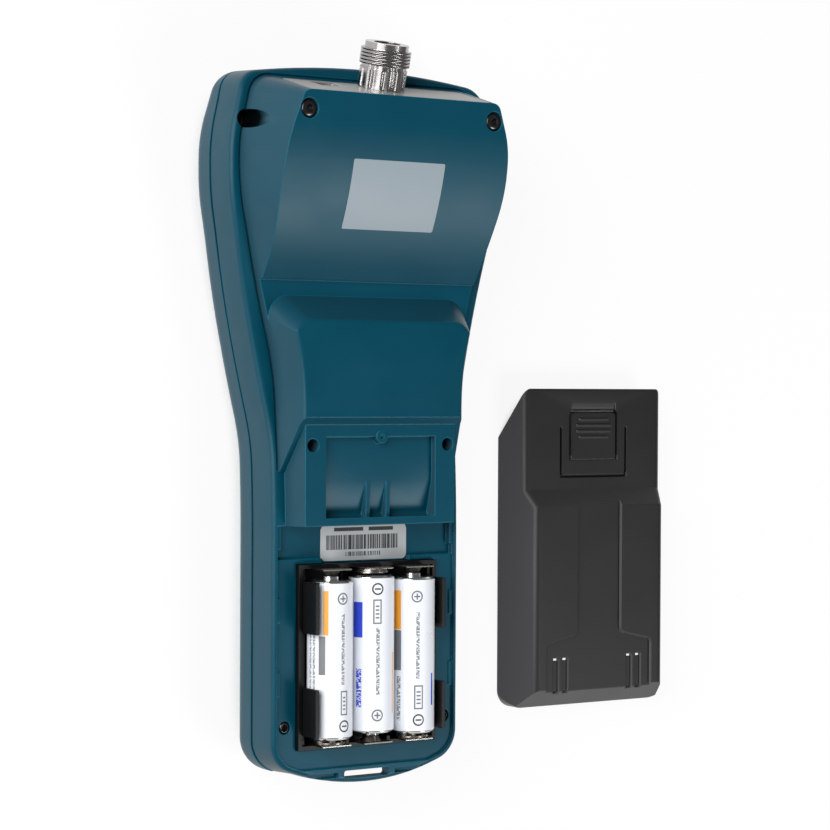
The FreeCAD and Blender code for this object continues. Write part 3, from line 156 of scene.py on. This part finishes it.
def material(name, roughness, metallic=0.0, specular=0.5):
    """A new material: its shader node, and the place of each point on the piece."""
    made = bpy.data.materials.new(name)
    made.use_nodes = True
    shader = made.node_tree.nodes["Principled BSDF"]
    shader.inputs["Roughness"].default_value = roughness
    shader.inputs["Metallic"].default_value = metallic
    shader.inputs["Specular IOR Level"].default_value = specular
    place = made.node_tree.nodes.new("ShaderNodeTexCoord")
    return made, shader, Wire(made.node_tree, place.outputs["Object"])


def feed(shader, socket, value):
    value.tree.links.new(value.socket, shader.inputs[socket])


def wear(piece, finish):
    """Give a piece its one material."""
    piece.data.materials.clear()
    piece.data.materials.append(finish)


SKY_REACH = 0.03               # how far off a piece over the card still shuts out its sky
SKY_SHUT = 0.12                # under this open share the card doesn't glow
SKY_GAIN = 4.0                 # how fast the glow comes up above that
GLOW_SHARE = 0.9
# Painted light: under the cover's windows the card glows even in the cover's shadow.
VENT_GLOW_STRIP = 0.036             # how far the card glows to each side of the cover's foot, under its windows
# The dull patch of card under the latch: how far its middle is shifted, its half sizes across and along
# the case, and the open share past which the cover is off it and it isn't dull.
LATCH_PATCH_SHIFT = 0.0064
LATCH_PATCH_HALF = (0.0125, 0.0105)
LATCH_PATCH_SKY = 0.85
CARD_HALF = 6.0
CARD_DROP = 0.0002             # the card lies just under what stands on it

# The card glows where it is seen directly, in a shiny piece or through a clear one.  To the light that it
# throws back on the case it is plain card.
card, card_shader, card_place = material("white_card", 0.9, specular=0.0)
tree = card.node_tree
card_shader.inputs["Base Color"].default_value = (0.86, 0.86, 0.86, 1.0)
rays = tree.nodes.new("ShaderNodeLightPath")
seen = Wire(tree, rays.outputs["Is Camera Ray"])
seen = seen.math("MAXIMUM", Wire(tree, rays.outputs["Is Glossy Ray"]))
seen = seen.math("MAXIMUM", Wire(tree, rays.outputs["Is Transmission Ray"]))
glow = seen.node("ShaderNodeEmission", {}, {"Color": (1.0, 1.0, 1.0, 1.0), "Strength": 1.0})
sky = seen.node("ShaderNodeAmbientOcclusion", {"samples": 8}, {"Distance": SKY_REACH}, 1)
open_sky = ((sky - SKY_SHUT) * SKY_GAIN).math("MINIMUM", 1.0).math("MAXIMUM", 0.0)
cover_low, cover_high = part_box("battery_cover")
cover_middle = (cover_low + cover_high) / 2
# Painted light: a strip by the cover's foot glows whatever shuts out its sky.
vent_glow = card_place.axis("X").near(cover_middle.x, (cover_high.x - cover_low.x) / 2)
vent_glow = vent_glow * card_place.axis("Y").near(cover_low.y, VENT_GLOW_STRIP)
latch_low, latch_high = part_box("cover_latch")
latch_middle = (latch_low + latch_high) / 2
across_half, along_half = LATCH_PATCH_HALF
under_latch = card_place.axis("X").near(latch_middle.x + LATCH_PATCH_SHIFT, across_half)
under_latch = under_latch * card_place.axis("Y").near(latch_middle.y, along_half) * (sky < LATCH_PATCH_SKY)
open_sky = open_sky.math("MAXIMUM", vent_glow) * (1.0 - under_latch)
mixed = seen.node("ShaderNodeMixShader", {}, {0: seen * open_sky * GLOW_SHARE, 2: glow})
tree.links.new(card_shader.outputs[0], mixed.socket.node.inputs[1])
tree.links.new(mixed.socket, tree.nodes["Material Output"].inputs["Surface"])
bench_mesh = bmesh.new()
bmesh.ops.create_grid(bench_mesh, x_segments=1, y_segments=1, size=CARD_HALF)
bmesh.ops.translate(bench_mesh, vec=(0.0, 0.0, -CARD_DROP), verts=bench_mesh.verts)
bench = bpy.data.objects.new("bench", bpy.data.meshes.new("bench"))
bench_mesh.to_mesh(bench.data)
bpy.context.scene.collection.objects.link(bench)
wear(bench, card)


# ---- case housings ---------------------------------------------------------------------------------
# Two mouldings of petrol-blue ABS with a fine spark-eroded grain, joined by a black seal.  Moulded
# edges are slightly rounded and carry a painted highlight, and the upright sides a painted grey
# reflection of the bench.
WELD = 0.002 * MM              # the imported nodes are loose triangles, welded closer than this
SHARP = math.radians(24)       # a turn past this between two faces is a real edge
CLOUDS = 55.0                  # faint clouds in a moulding, to the metre
GRAINS = 1600.0                # its spark-eroded grain, to the metre
GRAIN_DEPTH = 0.05 * MM
CLOUD_GLOSS = 0.16             # how far the clouds and the grain change the roughness
GRAIN_GLOSS = 0.06
EDGE_HIGHLIGHT_GAIN = 9.0                 # how fast the painted edge highlight comes up as an edge turns away


def soft_edges(node):
    """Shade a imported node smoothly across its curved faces, and keep its real edges."""
    for face in node.data.polygons:
        face.use_smooth = True
    weld = node.modifiers.new("weld", "WELD")
    weld.merge_threshold = WELD
    split = node.modifiers.new("edges", "EDGE_SPLIT")
    split.split_angle = SHARP


def moulded(name, colour, roughness, grain=0.3, radius=0.35, specular=0.5, blotch=0.1, edge_highlight=0.0,
            paint=None):
    """Moulded plastic: a fine grain, edges rounded by a radius in millimetres with a painted highlight
    along them, and whatever paint adds: a function of the point's place and plain colour that gives its
    new colour."""
    made, shader, place = material(name, roughness, specular=specular)
    cloud = place.noise(CLOUDS, 4.0)
    fine = place.noise(GRAINS, 2.0)
    edge = place.node("ShaderNodeBevel", {"samples": 6}, {"Radius": radius * MM})
    shade = (cloud - 0.5) * 2 * blotch + 1.0
    # Painted highlight: the colour is lighter where the rounded edge turns away from the face.
    if edge_highlight:
        flat = place.node("ShaderNodeNewGeometry", {}, {}, "Normal")
        turn = 1.0 - edge.node("ShaderNodeVectorMath", {"operation": "DOT_PRODUCT"}, {0: edge, 1: flat}, 1)
        shade = shade + (turn * EDGE_HIGHLIGHT_GAIN).math("MINIMUM", 1.0) * edge_highlight
    tint = shade.node("ShaderNodeVectorMath", {"operation": "SCALE"},
                      {0: colour[:3], "Scale": shade})
    if paint:
        tint = paint(place, tint)
    feed(shader, "Base Color", tint)
    plain = roughness - (CLOUD_GLOSS + GRAIN_GLOSS) / 2
    feed(shader, "Roughness", cloud * CLOUD_GLOSS + fine * GRAIN_GLOSS + plain)
    bump = fine.node("ShaderNodeBump", {}, {"Strength": grain, "Distance": GRAIN_DEPTH,
                                            "Height": fine, "Normal": edge})
    feed(shader, "Normal", bump)
    return made


def side_reflection(tint, reflected, share):
    """The tint, part of the way to a greyer colour on the upright sides: a painted reflection of the white
    bench.
    """
    upright = 1.0 - abs(tint.node("ShaderNodeNewGeometry", {}, {}, "Normal").axis("Z"))
    return (upright * share).blend(tint, reflected)


# The painted reflection of the bench on the case's upright sides: its colour and share.
SIDE_REFLECTION_BLUE = rgb(62, 74, 79)
SIDE_REFLECTION_BLUE_SHARE = 0.36
BLUE_SHEEN = (0.82, 0.97, 1.0, 1.0)
BORE_SHADE = 0.97
BORE_RIM = 0.35 * MM           # how far the dark reaches past the screw's head
BORE_DARK = (9.0 * MM, 14.0 * MM)       # over the screw's head: where the dark starts to fade, and ends


def shaded_bores(place, tint):
    """Painted shade in the two bores through the shoulder, fading up their walls, and the painted
    reflection of the bench on the upright sides.
    """
    low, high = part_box("case_screws_flank")
    radius = (high.y - low.y) / 2
    x = abs(place.axis("X")) - (high.x - radius)
    y = place.axis("Y") - (low.y + high.y) / 2
    out = (x * x + y * y).math("SQRT")
    rise = place.axis("Z") - high.z
    start, end = BORE_DARK
    fade = ((end - rise) / (end - start)).math("MINIMUM", 1.0).math("MAXIMUM", 0.0)
    dark = (out < radius + BORE_RIM) * fade * (rise > 0.0)
    tint = side_reflection(tint, SIDE_REFLECTION_BLUE, SIDE_REFLECTION_BLUE_SHARE)
    return tint.node("ShaderNodeVectorMath", {"operation": "SCALE"},
                     {0: tint, "Scale": 1.0 - dark * BORE_SHADE})


# The case: a painted highlight along its edges, painted shade in its bores and a painted reflection of the
# bench on its upright sides.
case_blue = moulded("case_blue", rgb(0, 64, 82), 0.36, radius=0.5, specular=0.17, edge_highlight=1.4,
                    paint=shaded_bores)
case_blue.node_tree.nodes["Principled BSDF"].inputs["Specular Tint"].default_value = BLUE_SHEEN
for name in ("rear_housing", "front_housing"):
    wear(nodes[name], case_blue)
    soft_edges(nodes[name])

seal_black = moulded("seal_black", rgb(12, 14, 16), 0.7, radius=0.1)
wear(nodes["case_seal"], seal_black)
soft_edges(nodes["case_seal"])

# ---- top panel and USB socket ----------------------------------------------------------------------
# A warm grey moulded plate let into the sloping top end, which the antenna socket's nut clamps.
# The tinned steel shell of a USB socket shows in a square opening in it.
panel_grey = moulded("panel_grey", rgb(146, 143, 142), 0.4, radius=0.2)
wear(nodes["top_panel"], panel_grey)
soft_edges(nodes["top_panel"])
HAZE = 400.0                   # wiping marks in a plating, to the metre
HAZE_DEPTH = 0.02 * MM
HAZE_STRENGTH = 0.1
PLATED_EDGE = 0.12 * MM


def plated(name, colour, roughness, scratch=0.04):
    """Plated metal with fine wiping marks."""
    made, shader, place = material(name, roughness, metallic=1.0)
    shader.inputs["Base Color"].default_value = colour
    haze = place.noise(HAZE, 3.0)
    feed(shader, "Roughness", haze * 2 * scratch + (roughness - scratch))
    edge = place.node("ShaderNodeBevel", {"samples": 6}, {"Radius": PLATED_EDGE})
    bump = haze.node("ShaderNodeBump", {}, {"Strength": HAZE_STRENGTH, "Distance": HAZE_DEPTH,
                                            "Height": haze, "Normal": edge})
    feed(shader, "Normal", bump)
    return made


tinned = plated("tinned_steel", rgb(205, 205, 205), 0.3)
wear(nodes["usb_socket"], tinned)
soft_edges(nodes["usb_socket"])

# ---- antenna socket --------------------------------------------------------------------------------
# A type N socket in nickel-plated brass: fluted collar, thread, plain rim, white insulator and a
# gold-plated centre contact.
THREAD_PITCH = 25.4 / 24 * MM          # 24 turns to the inch
THREAD_DEPTH = 0.4 * MM
FLUTES = 18
FLUTE_DEPTH = 0.5                      # of the thread's half depth
THREAD_START = 4.6 * MM                # along the socket, from the middle of its contact
THREAD_END = 9.5 * MM
THREAD_CORE = 7.6 * MM
TILT = math.radians(15)                # lean of the socket's axis


def threaded(place):
    """Height of the thread that runs round the socket between two places on its axis."""
    low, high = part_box("connector_contact")
    axis = Vector((0.0, math.cos(TILT), math.sin(TILT)))
    side = Vector((0.0, -math.sin(TILT), math.cos(TILT)))
    middle = (low + high) / 2
    dot = {"operation": "DOT_PRODUCT"}
    from_middle = place.node("ShaderNodeVectorMath", {"operation": "SUBTRACT"}, {0: place, 1: middle[:]})
    along = place.node("ShaderNodeVectorMath", dot, {0: from_middle, 1: axis[:]}, 1)
    up = place.node("ShaderNodeVectorMath", dot, {0: from_middle, 1: side[:]}, 1)
    turn = up.math("ARCTAN2", from_middle.axis("X")) / (2 * math.pi)
    wave = ((along / THREAD_PITCH + turn) * (2 * math.pi)).math("SINE")
    out = ((from_middle.axis("X") * from_middle.axis("X")) + up * up).math("SQRT")
    held = along.near((THREAD_START + THREAD_END) / 2, (THREAD_END - THREAD_START) / 2) * (out > THREAD_CORE)
    flutes = (turn * (2 * math.pi * FLUTES)).math("SINE") * FLUTE_DEPTH * (along < THREAD_START)
    return wave * held + flutes


def plated_thread():
    """The socket's plating, with its thread and flutes raised on it."""
    made = plated("nickel_plate", rgb(174, 171, 169), 0.2)
    tree = made.node_tree
    place = Wire(tree, tree.nodes["Texture Coordinate"].outputs["Object"])
    shader = tree.nodes["Principled BSDF"]
    before = Wire(tree, shader.inputs["Normal"].links[0].from_socket)
    ridges = threaded(place)
    cut = place.node("ShaderNodeBump", {}, {"Strength": 1.0, "Distance": THREAD_DEPTH / 2, "Height": ridges,
                                            "Normal": before})
    feed(shader, "Normal", cut)
    return made


nickel = plated_thread()
wear(nodes["connector_shell"], nickel)
wear(nodes["connector_nut"], nickel)
gold = plated("gold_plate", rgb(226, 178, 92), 0.2)
wear(nodes["connector_contact"], gold)
insulator_white = moulded("insulator_white", rgb(236, 236, 230), 0.35, radius=0.1)
wear(nodes["connector_insulator"], insulator_white)
for name in ("connector_shell", "connector_nut", "connector_contact", "connector_insulator"):
    soft_edges(nodes[name])

# ---- screws ----------------------------------------------------------------------------------------
# Black steel screws with hexagon sockets, the two at the top with domed heads.  Those of the case
# are let into wells in the back, and the board's hold it down on posts of the front housing.
screw_black = moulded("screw_black", rgb(14, 14, 15), 0.22, grain=0.0, radius=0.15, specular=0.7)
for name in ("case_screws_top", "case_screws_waist", "case_screws_bottom", "case_screws_flank",
             "board_screws"):
    wear(nodes[name], screw_black)
    soft_edges(nodes[name])

# ---- labels ----------------------------------------------------------------------------------------
# A bare foil plate glued on the slope of the back, and a small paper label over the cells, glued
# to the floor of the bay and printed with plain marks.
foil = moulded("label_foil", rgb(140, 152, 159), 0.4, grain=0.12, radius=0.05, specular=0.2, blotch=0.03)
wear(nodes["rear_label"], foil)


# The marks on the paper label, in millimetres: the middle and half size of each block along the case,
# then across it.
LABEL_BARS = ((4.2, 0.6, -5.6, 5.4), (4.2, 0.6, 6.4, 4.6))
LABEL_STROKES = (0.1, 2.3, -0.5, 13.4)
LABEL_DOTS = (-3.6, 0.7, -0.3, 6.6)
STROKES_TO_MM = 2.6
STROKE_INK = 0.46              # the strokes and dots are inked where the noise is past these
DOT_INK = 0.5
LABEL_INK = rgb(26, 27, 30)


def barred(place, tint):
    """Plain marks where a label would have writing: two bars, a row of strokes and a row of dots."""
    low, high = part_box("bay_label")
    centre = (low + high) / 2
    x = (place.axis("X") - centre.x) / MM
    y = (place.axis("Y") - centre.y) / MM

    def block(along, along_half, across, across_half):
        return y.near(along, along_half) * x.near(across, across_half)

    bars = block(*LABEL_BARS[0]) + block(*LABEL_BARS[1])
    stroke = x.node("ShaderNodeTexNoise", {"noise_dimensions": "1D"}, {"W": x * STROKES_TO_MM, "Scale": 1.0})
    strokes = block(*LABEL_STROKES) * (stroke > STROKE_INK)
    dots = block(*LABEL_DOTS) * (stroke > DOT_INK)
    return (bars + strokes + dots).math("MINIMUM", 1.0).blend(tint, LABEL_INK)


paper = moulded("label_paper", rgb(178, 182, 184), 0.38, grain=0.12, radius=0.05, blotch=0.03,
                paint=barred)
wear(nodes["bay_label"], paper)

# ---- battery tray and contacts ---------------------------------------------------------------------
# A black moulded tray with upright tabs at its sides, dropped into a well in the bay floor.
# Coil springs of plated wire and plates with nubs stand against its end walls.
tray_black = moulded("tray_black", rgb(9, 9, 10), 0.45, radius=0.25, specular=0.3)
wear(nodes["battery_tray"], tray_black)
wear(nodes["contact_springs"], plated("spring_metal", rgb(158, 153, 146), 0.24))
# The plates are a darker copy of the springs' metal, a painted shade.
wear(nodes["contact_plates"], plated("plate_metal", rgb(116, 112, 106), 0.34))
for name in ("battery_tray", "contact_springs", "contact_plates"):
    soft_edges(nodes[name])

# ---- cells -----------------------------------------------------------------------------------------
# Three AA cells: bright steel cans in shrunk white sleeves, pressed into the tray between their
# contacts.  The sleeves are printed with signs, frames, plain bands and lines too fine to read.
can_steel = plated("can_steel", rgb(214, 214, 212), 0.2)
FRAME_LINE = 0.45              # millimetres, as all that is printed on the sleeves
FRAME_BARS = (-1.9, -0.7, 0.5, 1.7)
FRAME_BAR_HALF = 0.25
FRAME_BAR_MARGIN = 0.8
LETTERS_ALONG = 2.2            # how finely a line of print is broken up, along it and across it
LETTERS_ACROSS = 1.1
LETTER_INK = 0.47
SIGN_RING = 1.65
SIGN_ARM = 1.0
SIGN_LINE = 0.24
INK = {"orange": rgb(235, 160, 40), "blue": rgb(30, 62, 196), "grey": rgb(112, 114, 118),
       "faint": rgb(128, 130, 134), "black": rgb(44, 45, 48)}
# What is printed on each sleeve: a shape, the place of its middle along the cell and round it from the
# top, its length and width, and its ink.
PRINTS = {
    "left": (("plus", 19.2, 0.4, 0, 0, "grey"), ("minus", -20.4, 1.1, 0, 0, "black"),
             ("patch", 1.6, -6.4, 12.0, 2.2, "grey"), ("patch", 14.8, -5.2, 13.8, 1.7, "orange"),
             ("lines", 3.5, 0.5, 22.0, 1.1, "faint"), ("frame", -13.2, 1.0, 7.6, 2.6, "grey"),
             ("lines", 1.0, -9.3, 30.0, 0.9, "faint"), ("lines", 1.0, -11.0, 30.0, 0.9, "faint")),
    "middle": (("minus", 20.6, -2.0, 0, 0, "black"), ("plus", -19.0, -2.0, 0, 0, "grey"),
               ("patch", 10.9, -8.6, 11.1, 3.4, "blue"), ("lines", -10.5, -8.2, 12.1, 2.0, "blue"),
               ("frame", 13.5, -2.1, 7.7, 2.8, "grey"), ("patch", -9.1, 4.6, 19.0, 0.8, "orange"),
               ("lines", -2.0, -1.9, 21.0, 1.1, "faint")),
    "right": (("plus", 18.7, -2.5, 0, 0, "grey"), ("minus", -20.4, -1.9, 0, 0, "black"),
              ("patch", 14.4, -9.6, 12.3, 3.6, "orange"), ("patch", 1.6, -9.4, 12.7, 3.4, "grey"),
              ("frame", -13.2, -1.9, 7.6, 3.0, "grey"), ("patch", -10.9, 3.6, 10.2, 0.9, "blue"),
              ("lines", 3.2, -2.2, 21.0, 1.1, "faint"), ("lines", -13.6, -8.6, 14.0, 1.4, "faint"))}


def printed(side):
    """The paint of one cell's sleeve."""
    low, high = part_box("cell_%s_sleeve" % side)
    centre = (low + high) / 2
    radius = (high.x - low.x) / 2

    def paint(place, tint):
        across = place.axis("X") - centre.x
        around = across.math("ARCTAN2", place.axis("Z") - centre.z) * (radius / MM)
        along = (place.axis("Y") - centre.y) / MM
        for shape, at, round_at, length, width, ink in PRINTS[side]:
            a = along - at
            r = around - round_at
            if shape == "patch":
                mask = a.near(0.0, length / 2) * r.near(0.0, width / 2)
            elif shape == "frame":
                inside = a.near(0.0, length / 2 - FRAME_LINE) * r.near(0.0, width / 2 - FRAME_LINE)
                bars = sum(a.near(bar_at, FRAME_BAR_HALF) for bar_at in FRAME_BARS)
                core = r.near(0.0, width / 2 - FRAME_BAR_MARGIN) * bars
                mask = a.near(0.0, length / 2) * r.near(0.0, width / 2) * (1.0 - inside) + core
            elif shape == "lines":
                spot = {0: a * LETTERS_ALONG + at, 1: r * LETTERS_ACROSS}
                spot = a.node("ShaderNodeCombineXYZ", {}, spot)
                letters = place.node("ShaderNodeTexNoise", {"normalize": True, "noise_dimensions": "2D"},
                                     {"Vector": spot, "Scale": 1.0, "Detail": 1.0})
                mask = a.near(0.0, length / 2) * r.near(0.0, width / 2) * (letters > LETTER_INK)
            else:
                out = (a * a + r * r).math("SQRT")
                bar = a.near(0.0, SIGN_LINE) * r.near(0.0, SIGN_ARM)
                if shape == "plus":
                    bar = (bar + a.near(0.0, SIGN_ARM) * r.near(0.0, SIGN_LINE)).math("MINIMUM", 1.0)
                mask = out.near(SIGN_RING, SIGN_LINE) + bar
            tint = mask.math("MINIMUM", 1.0).blend(tint, INK[ink])
        return tint

    return paint


for side in ("left", "middle", "right"):
    wear(nodes["cell_%s_can" % side], can_steel)
    wear(nodes["cell_%s_sleeve" % side],
         moulded("sleeve_" + side, rgb(226, 229, 235), 0.3, grain=0.0, radius=0.1, blotch=0.02,
                 paint=printed(side)))
    soft_edges(nodes["cell_%s_can" % side])
    soft_edges(nodes["cell_%s_sleeve" % side])

# ---- battery cover ---------------------------------------------------------------------------------
# A dark grey moulding with a sunk strap channel, and four long windows that are open at their ends.
# Its sprung latch tongue turns about a rounded root in a hole that a groove frames.
# The painted reflection of the bench on the cover's upright sides: its colour and share.
SIDE_REFLECTION_GREY = rgb(96, 95, 97)
SIDE_REFLECTION_GREY_SHARE = 0.9
GRIP_RIB = 0.5 * MM                    # the latch's ribs stand this far over the cover's face
GROOVE_FROM = 0.35 * MM                # how far under that face the groove starts, and where it ends
GROOVE_TO = 5 * MM
GROOVE_REACH = 18 * MM                 # from the latch's middle
HINGE_HALF = 9.0 * MM                  # the hinge is left without painted shade: its half width, and how far it reaches
HINGE_REACH = 1.5 * MM
# How much of the colour the painted shade in the groove and gaps leaves, and the radius of its lines'
# corners.
GROOVE_SHADE = 0.12
SHADE_LINE_CORNER = 2.0 * MM
# The lines of painted shade along the groove and the gap: half width, lower and upper end counted from
# the latch's hinged end, where each one shows, and how wide it is.
SHADE_LINES = [[mm * MM for mm in line] for line in ((13.9, -5.6, 20.9, -7.0, 10.9, 1.1),
                                                    (9.9, -10.0, 16.9, 1.5, 18.0, 1.5))]


def shadowed_groove(place, tint):
    """Painted shade in the groove and the gaps round the latch, and the painted reflection of the bench
    on the upright sides.
    """
    low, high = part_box("cover_latch")
    middle = (low + high) / 2
    level = high.z - GRIP_RIB
    x = abs(place.axis("X") - middle.x)
    y = place.axis("Y")
    sunk = (place.axis("Z") < level - GROOVE_FROM) * (place.axis("Z") > level - GROOVE_TO)
    hinge = (x < HINGE_HALF) * y.near(low.y, HINGE_REACH)
    held = sunk * (x < GROOVE_REACH) * y.near(middle.y, GROOVE_REACH) * (1.0 - hinge)
    for half, bottom, top, start, end, width in SHADE_LINES:
        beyond = (x - (half - SHADE_LINE_CORNER)).math("MAXIMUM", 0.0)
        past = abs(y - low.y - (bottom + top) / 2) - ((top - bottom) / 2 - SHADE_LINE_CORNER)
        past = past.math("MAXIMUM", 0.0)
        line = (beyond * beyond + past * past).math("SQRT").near(SHADE_LINE_CORNER, width / 2)
        shown = y.near(low.y + (start + end) / 2, (end - start) / 2)
        held = held.math("MAXIMUM", line * shown)
    tint = side_reflection(tint, SIDE_REFLECTION_GREY, SIDE_REFLECTION_GREY_SHARE)
    return tint.node("ShaderNodeVectorMath", {"operation": "SCALE"},
                     {0: tint, "Scale": 1.0 - held * (1.0 - GROOVE_SHADE)})


# The cover: a painted highlight along its edges, painted shade round the latch and a painted reflection of
# the bench on its upright sides.
cover_grey = moulded("cover_grey", rgb(27, 26, 26), 0.44, radius=0.5, specular=0.34, edge_highlight=1.8,
                     paint=shadowed_groove)
for name in ("battery_cover", "cover_latch"):
    wear(nodes[name], cover_grey)
    soft_edges(nodes[name])

# ---- display, keypad and board ---------------------------------------------------------------------
# On the underside: a smoked window over the display, and hard keys over a rubber sheet, with their
# legends printed on.  Behind them is a green board with tinned cans and a black buzzer.
window_smoke = moulded("window_smoke", rgb(10, 11, 13), 0.08, grain=0.0, radius=0.3, blotch=0.0)
wear(nodes["display_window"], window_smoke)
inner_black = moulded("inner_black", rgb(24, 24, 26), 0.5)
for name in ("display_module", "display_frame", "buzzer"):
    wear(nodes[name], inner_black)
key_grey = moulded("key_grey", rgb(70, 74, 80), 0.5, radius=0.3)
wear(nodes["keypad_mat"], moulded("mat_grey", rgb(60, 60, 62), 0.7))
wear(nodes["main_board"], moulded("board_green", rgb(16, 84, 46), 0.35))
for name in ("dome_switches", "rf_shield", "radio_module"):
    wear(nodes[name], tinned)
for name in [n for n in nodes if n.startswith("key_") or n == "power_key"]:
    wear(nodes[name], key_grey)
    soft_edges(nodes[name])
key_white = moulded("key_white", rgb(214, 216, 218), 0.5, grain=0.0, radius=0.05)
LEGENDS = ("123", "456", "789", "-0+")
LEGEND_HEIGHT = 4.6 * MM
LEGEND_FONT = 1.4              # size of the lettering over the height of its figures
LEGEND_LIFT = 0.06 * MM
RING_BORE = 0.78               # of the ring's outer radius


def legend_mesh(sign):
    """A plain sign as a thin mesh, centred, and turned to be read from below."""
    text = bpy.data.objects.new("text", bpy.data.curves.new("text", "FONT"))
    text.data.body = sign
    text.data.size = LEGEND_HEIGHT * LEGEND_FONT
    text.data.align_x = "CENTER"
    text.data.align_y = "CENTER"
    text.data.extrude = LEGEND_LIFT / 2
    bpy.context.scene.collection.objects.link(text)
    mesh = bpy.data.meshes.new_from_object(text.evaluated_get(bpy.context.evaluated_depsgraph_get()))
    bpy.data.objects.remove(text)
    mesh.transform(Matrix.Rotation(math.pi, 4, "Y"))
    return mesh


def arrow_mesh(turn):
    """A plain arrow head, turned by some quarter turns."""
    shape = bmesh.new()
    bmesh.ops.create_cone(shape, segments=3, radius1=LEGEND_HEIGHT / 2, radius2=LEGEND_HEIGHT / 2,
                          depth=LEGEND_LIFT, cap_ends=True)
    mesh = bpy.data.meshes.new("arrow")
    shape.to_mesh(mesh)
    mesh.transform(Matrix.Rotation(turn * math.pi / 2, 4, "Z"))
    return mesh


def ring_mesh():
    """A ring, for the power key."""
    shape = bmesh.new()
    bmesh.ops.create_circle(shape, segments=32, radius=LEGEND_HEIGHT / 2)
    rim = bmesh.ops.extrude_edge_only(shape, edges=shape.edges[:])
    inner = [v for v in rim["geom"] if isinstance(v, bmesh.types.BMVert)]
    bmesh.ops.scale(shape, vec=(RING_BORE, RING_BORE, 1.0), verts=inner)
    bmesh.ops.solidify(shape, geom=shape.faces[:], thickness=LEGEND_LIFT)
    mesh = bpy.data.meshes.new("ring")
    shape.to_mesh(mesh)
    return mesh


def lay_legend(key, mesh):
    """Print a legend on a key's face, which looks down at the bench."""
    low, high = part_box(key)
    sign = bpy.data.objects.new("legend_" + key, mesh)
    middle = (low + high) / 2
    mesh.transform(Matrix.Translation((middle.x, middle.y, low.z + LEGEND_LIFT / 4)))
    bpy.context.scene.collection.objects.link(sign)
    wear(sign, key_white)
    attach(sign, key + "_body")


for row, signs in enumerate(LEGENDS):
    for column, sign in enumerate(signs):
        lay_legend("key_%d_%d" % (row + 1, column + 1), legend_mesh(sign))
    lay_legend("key_%d_4" % (row + 1), arrow_mesh(row))
lay_legend("power_key", ring_mesh())
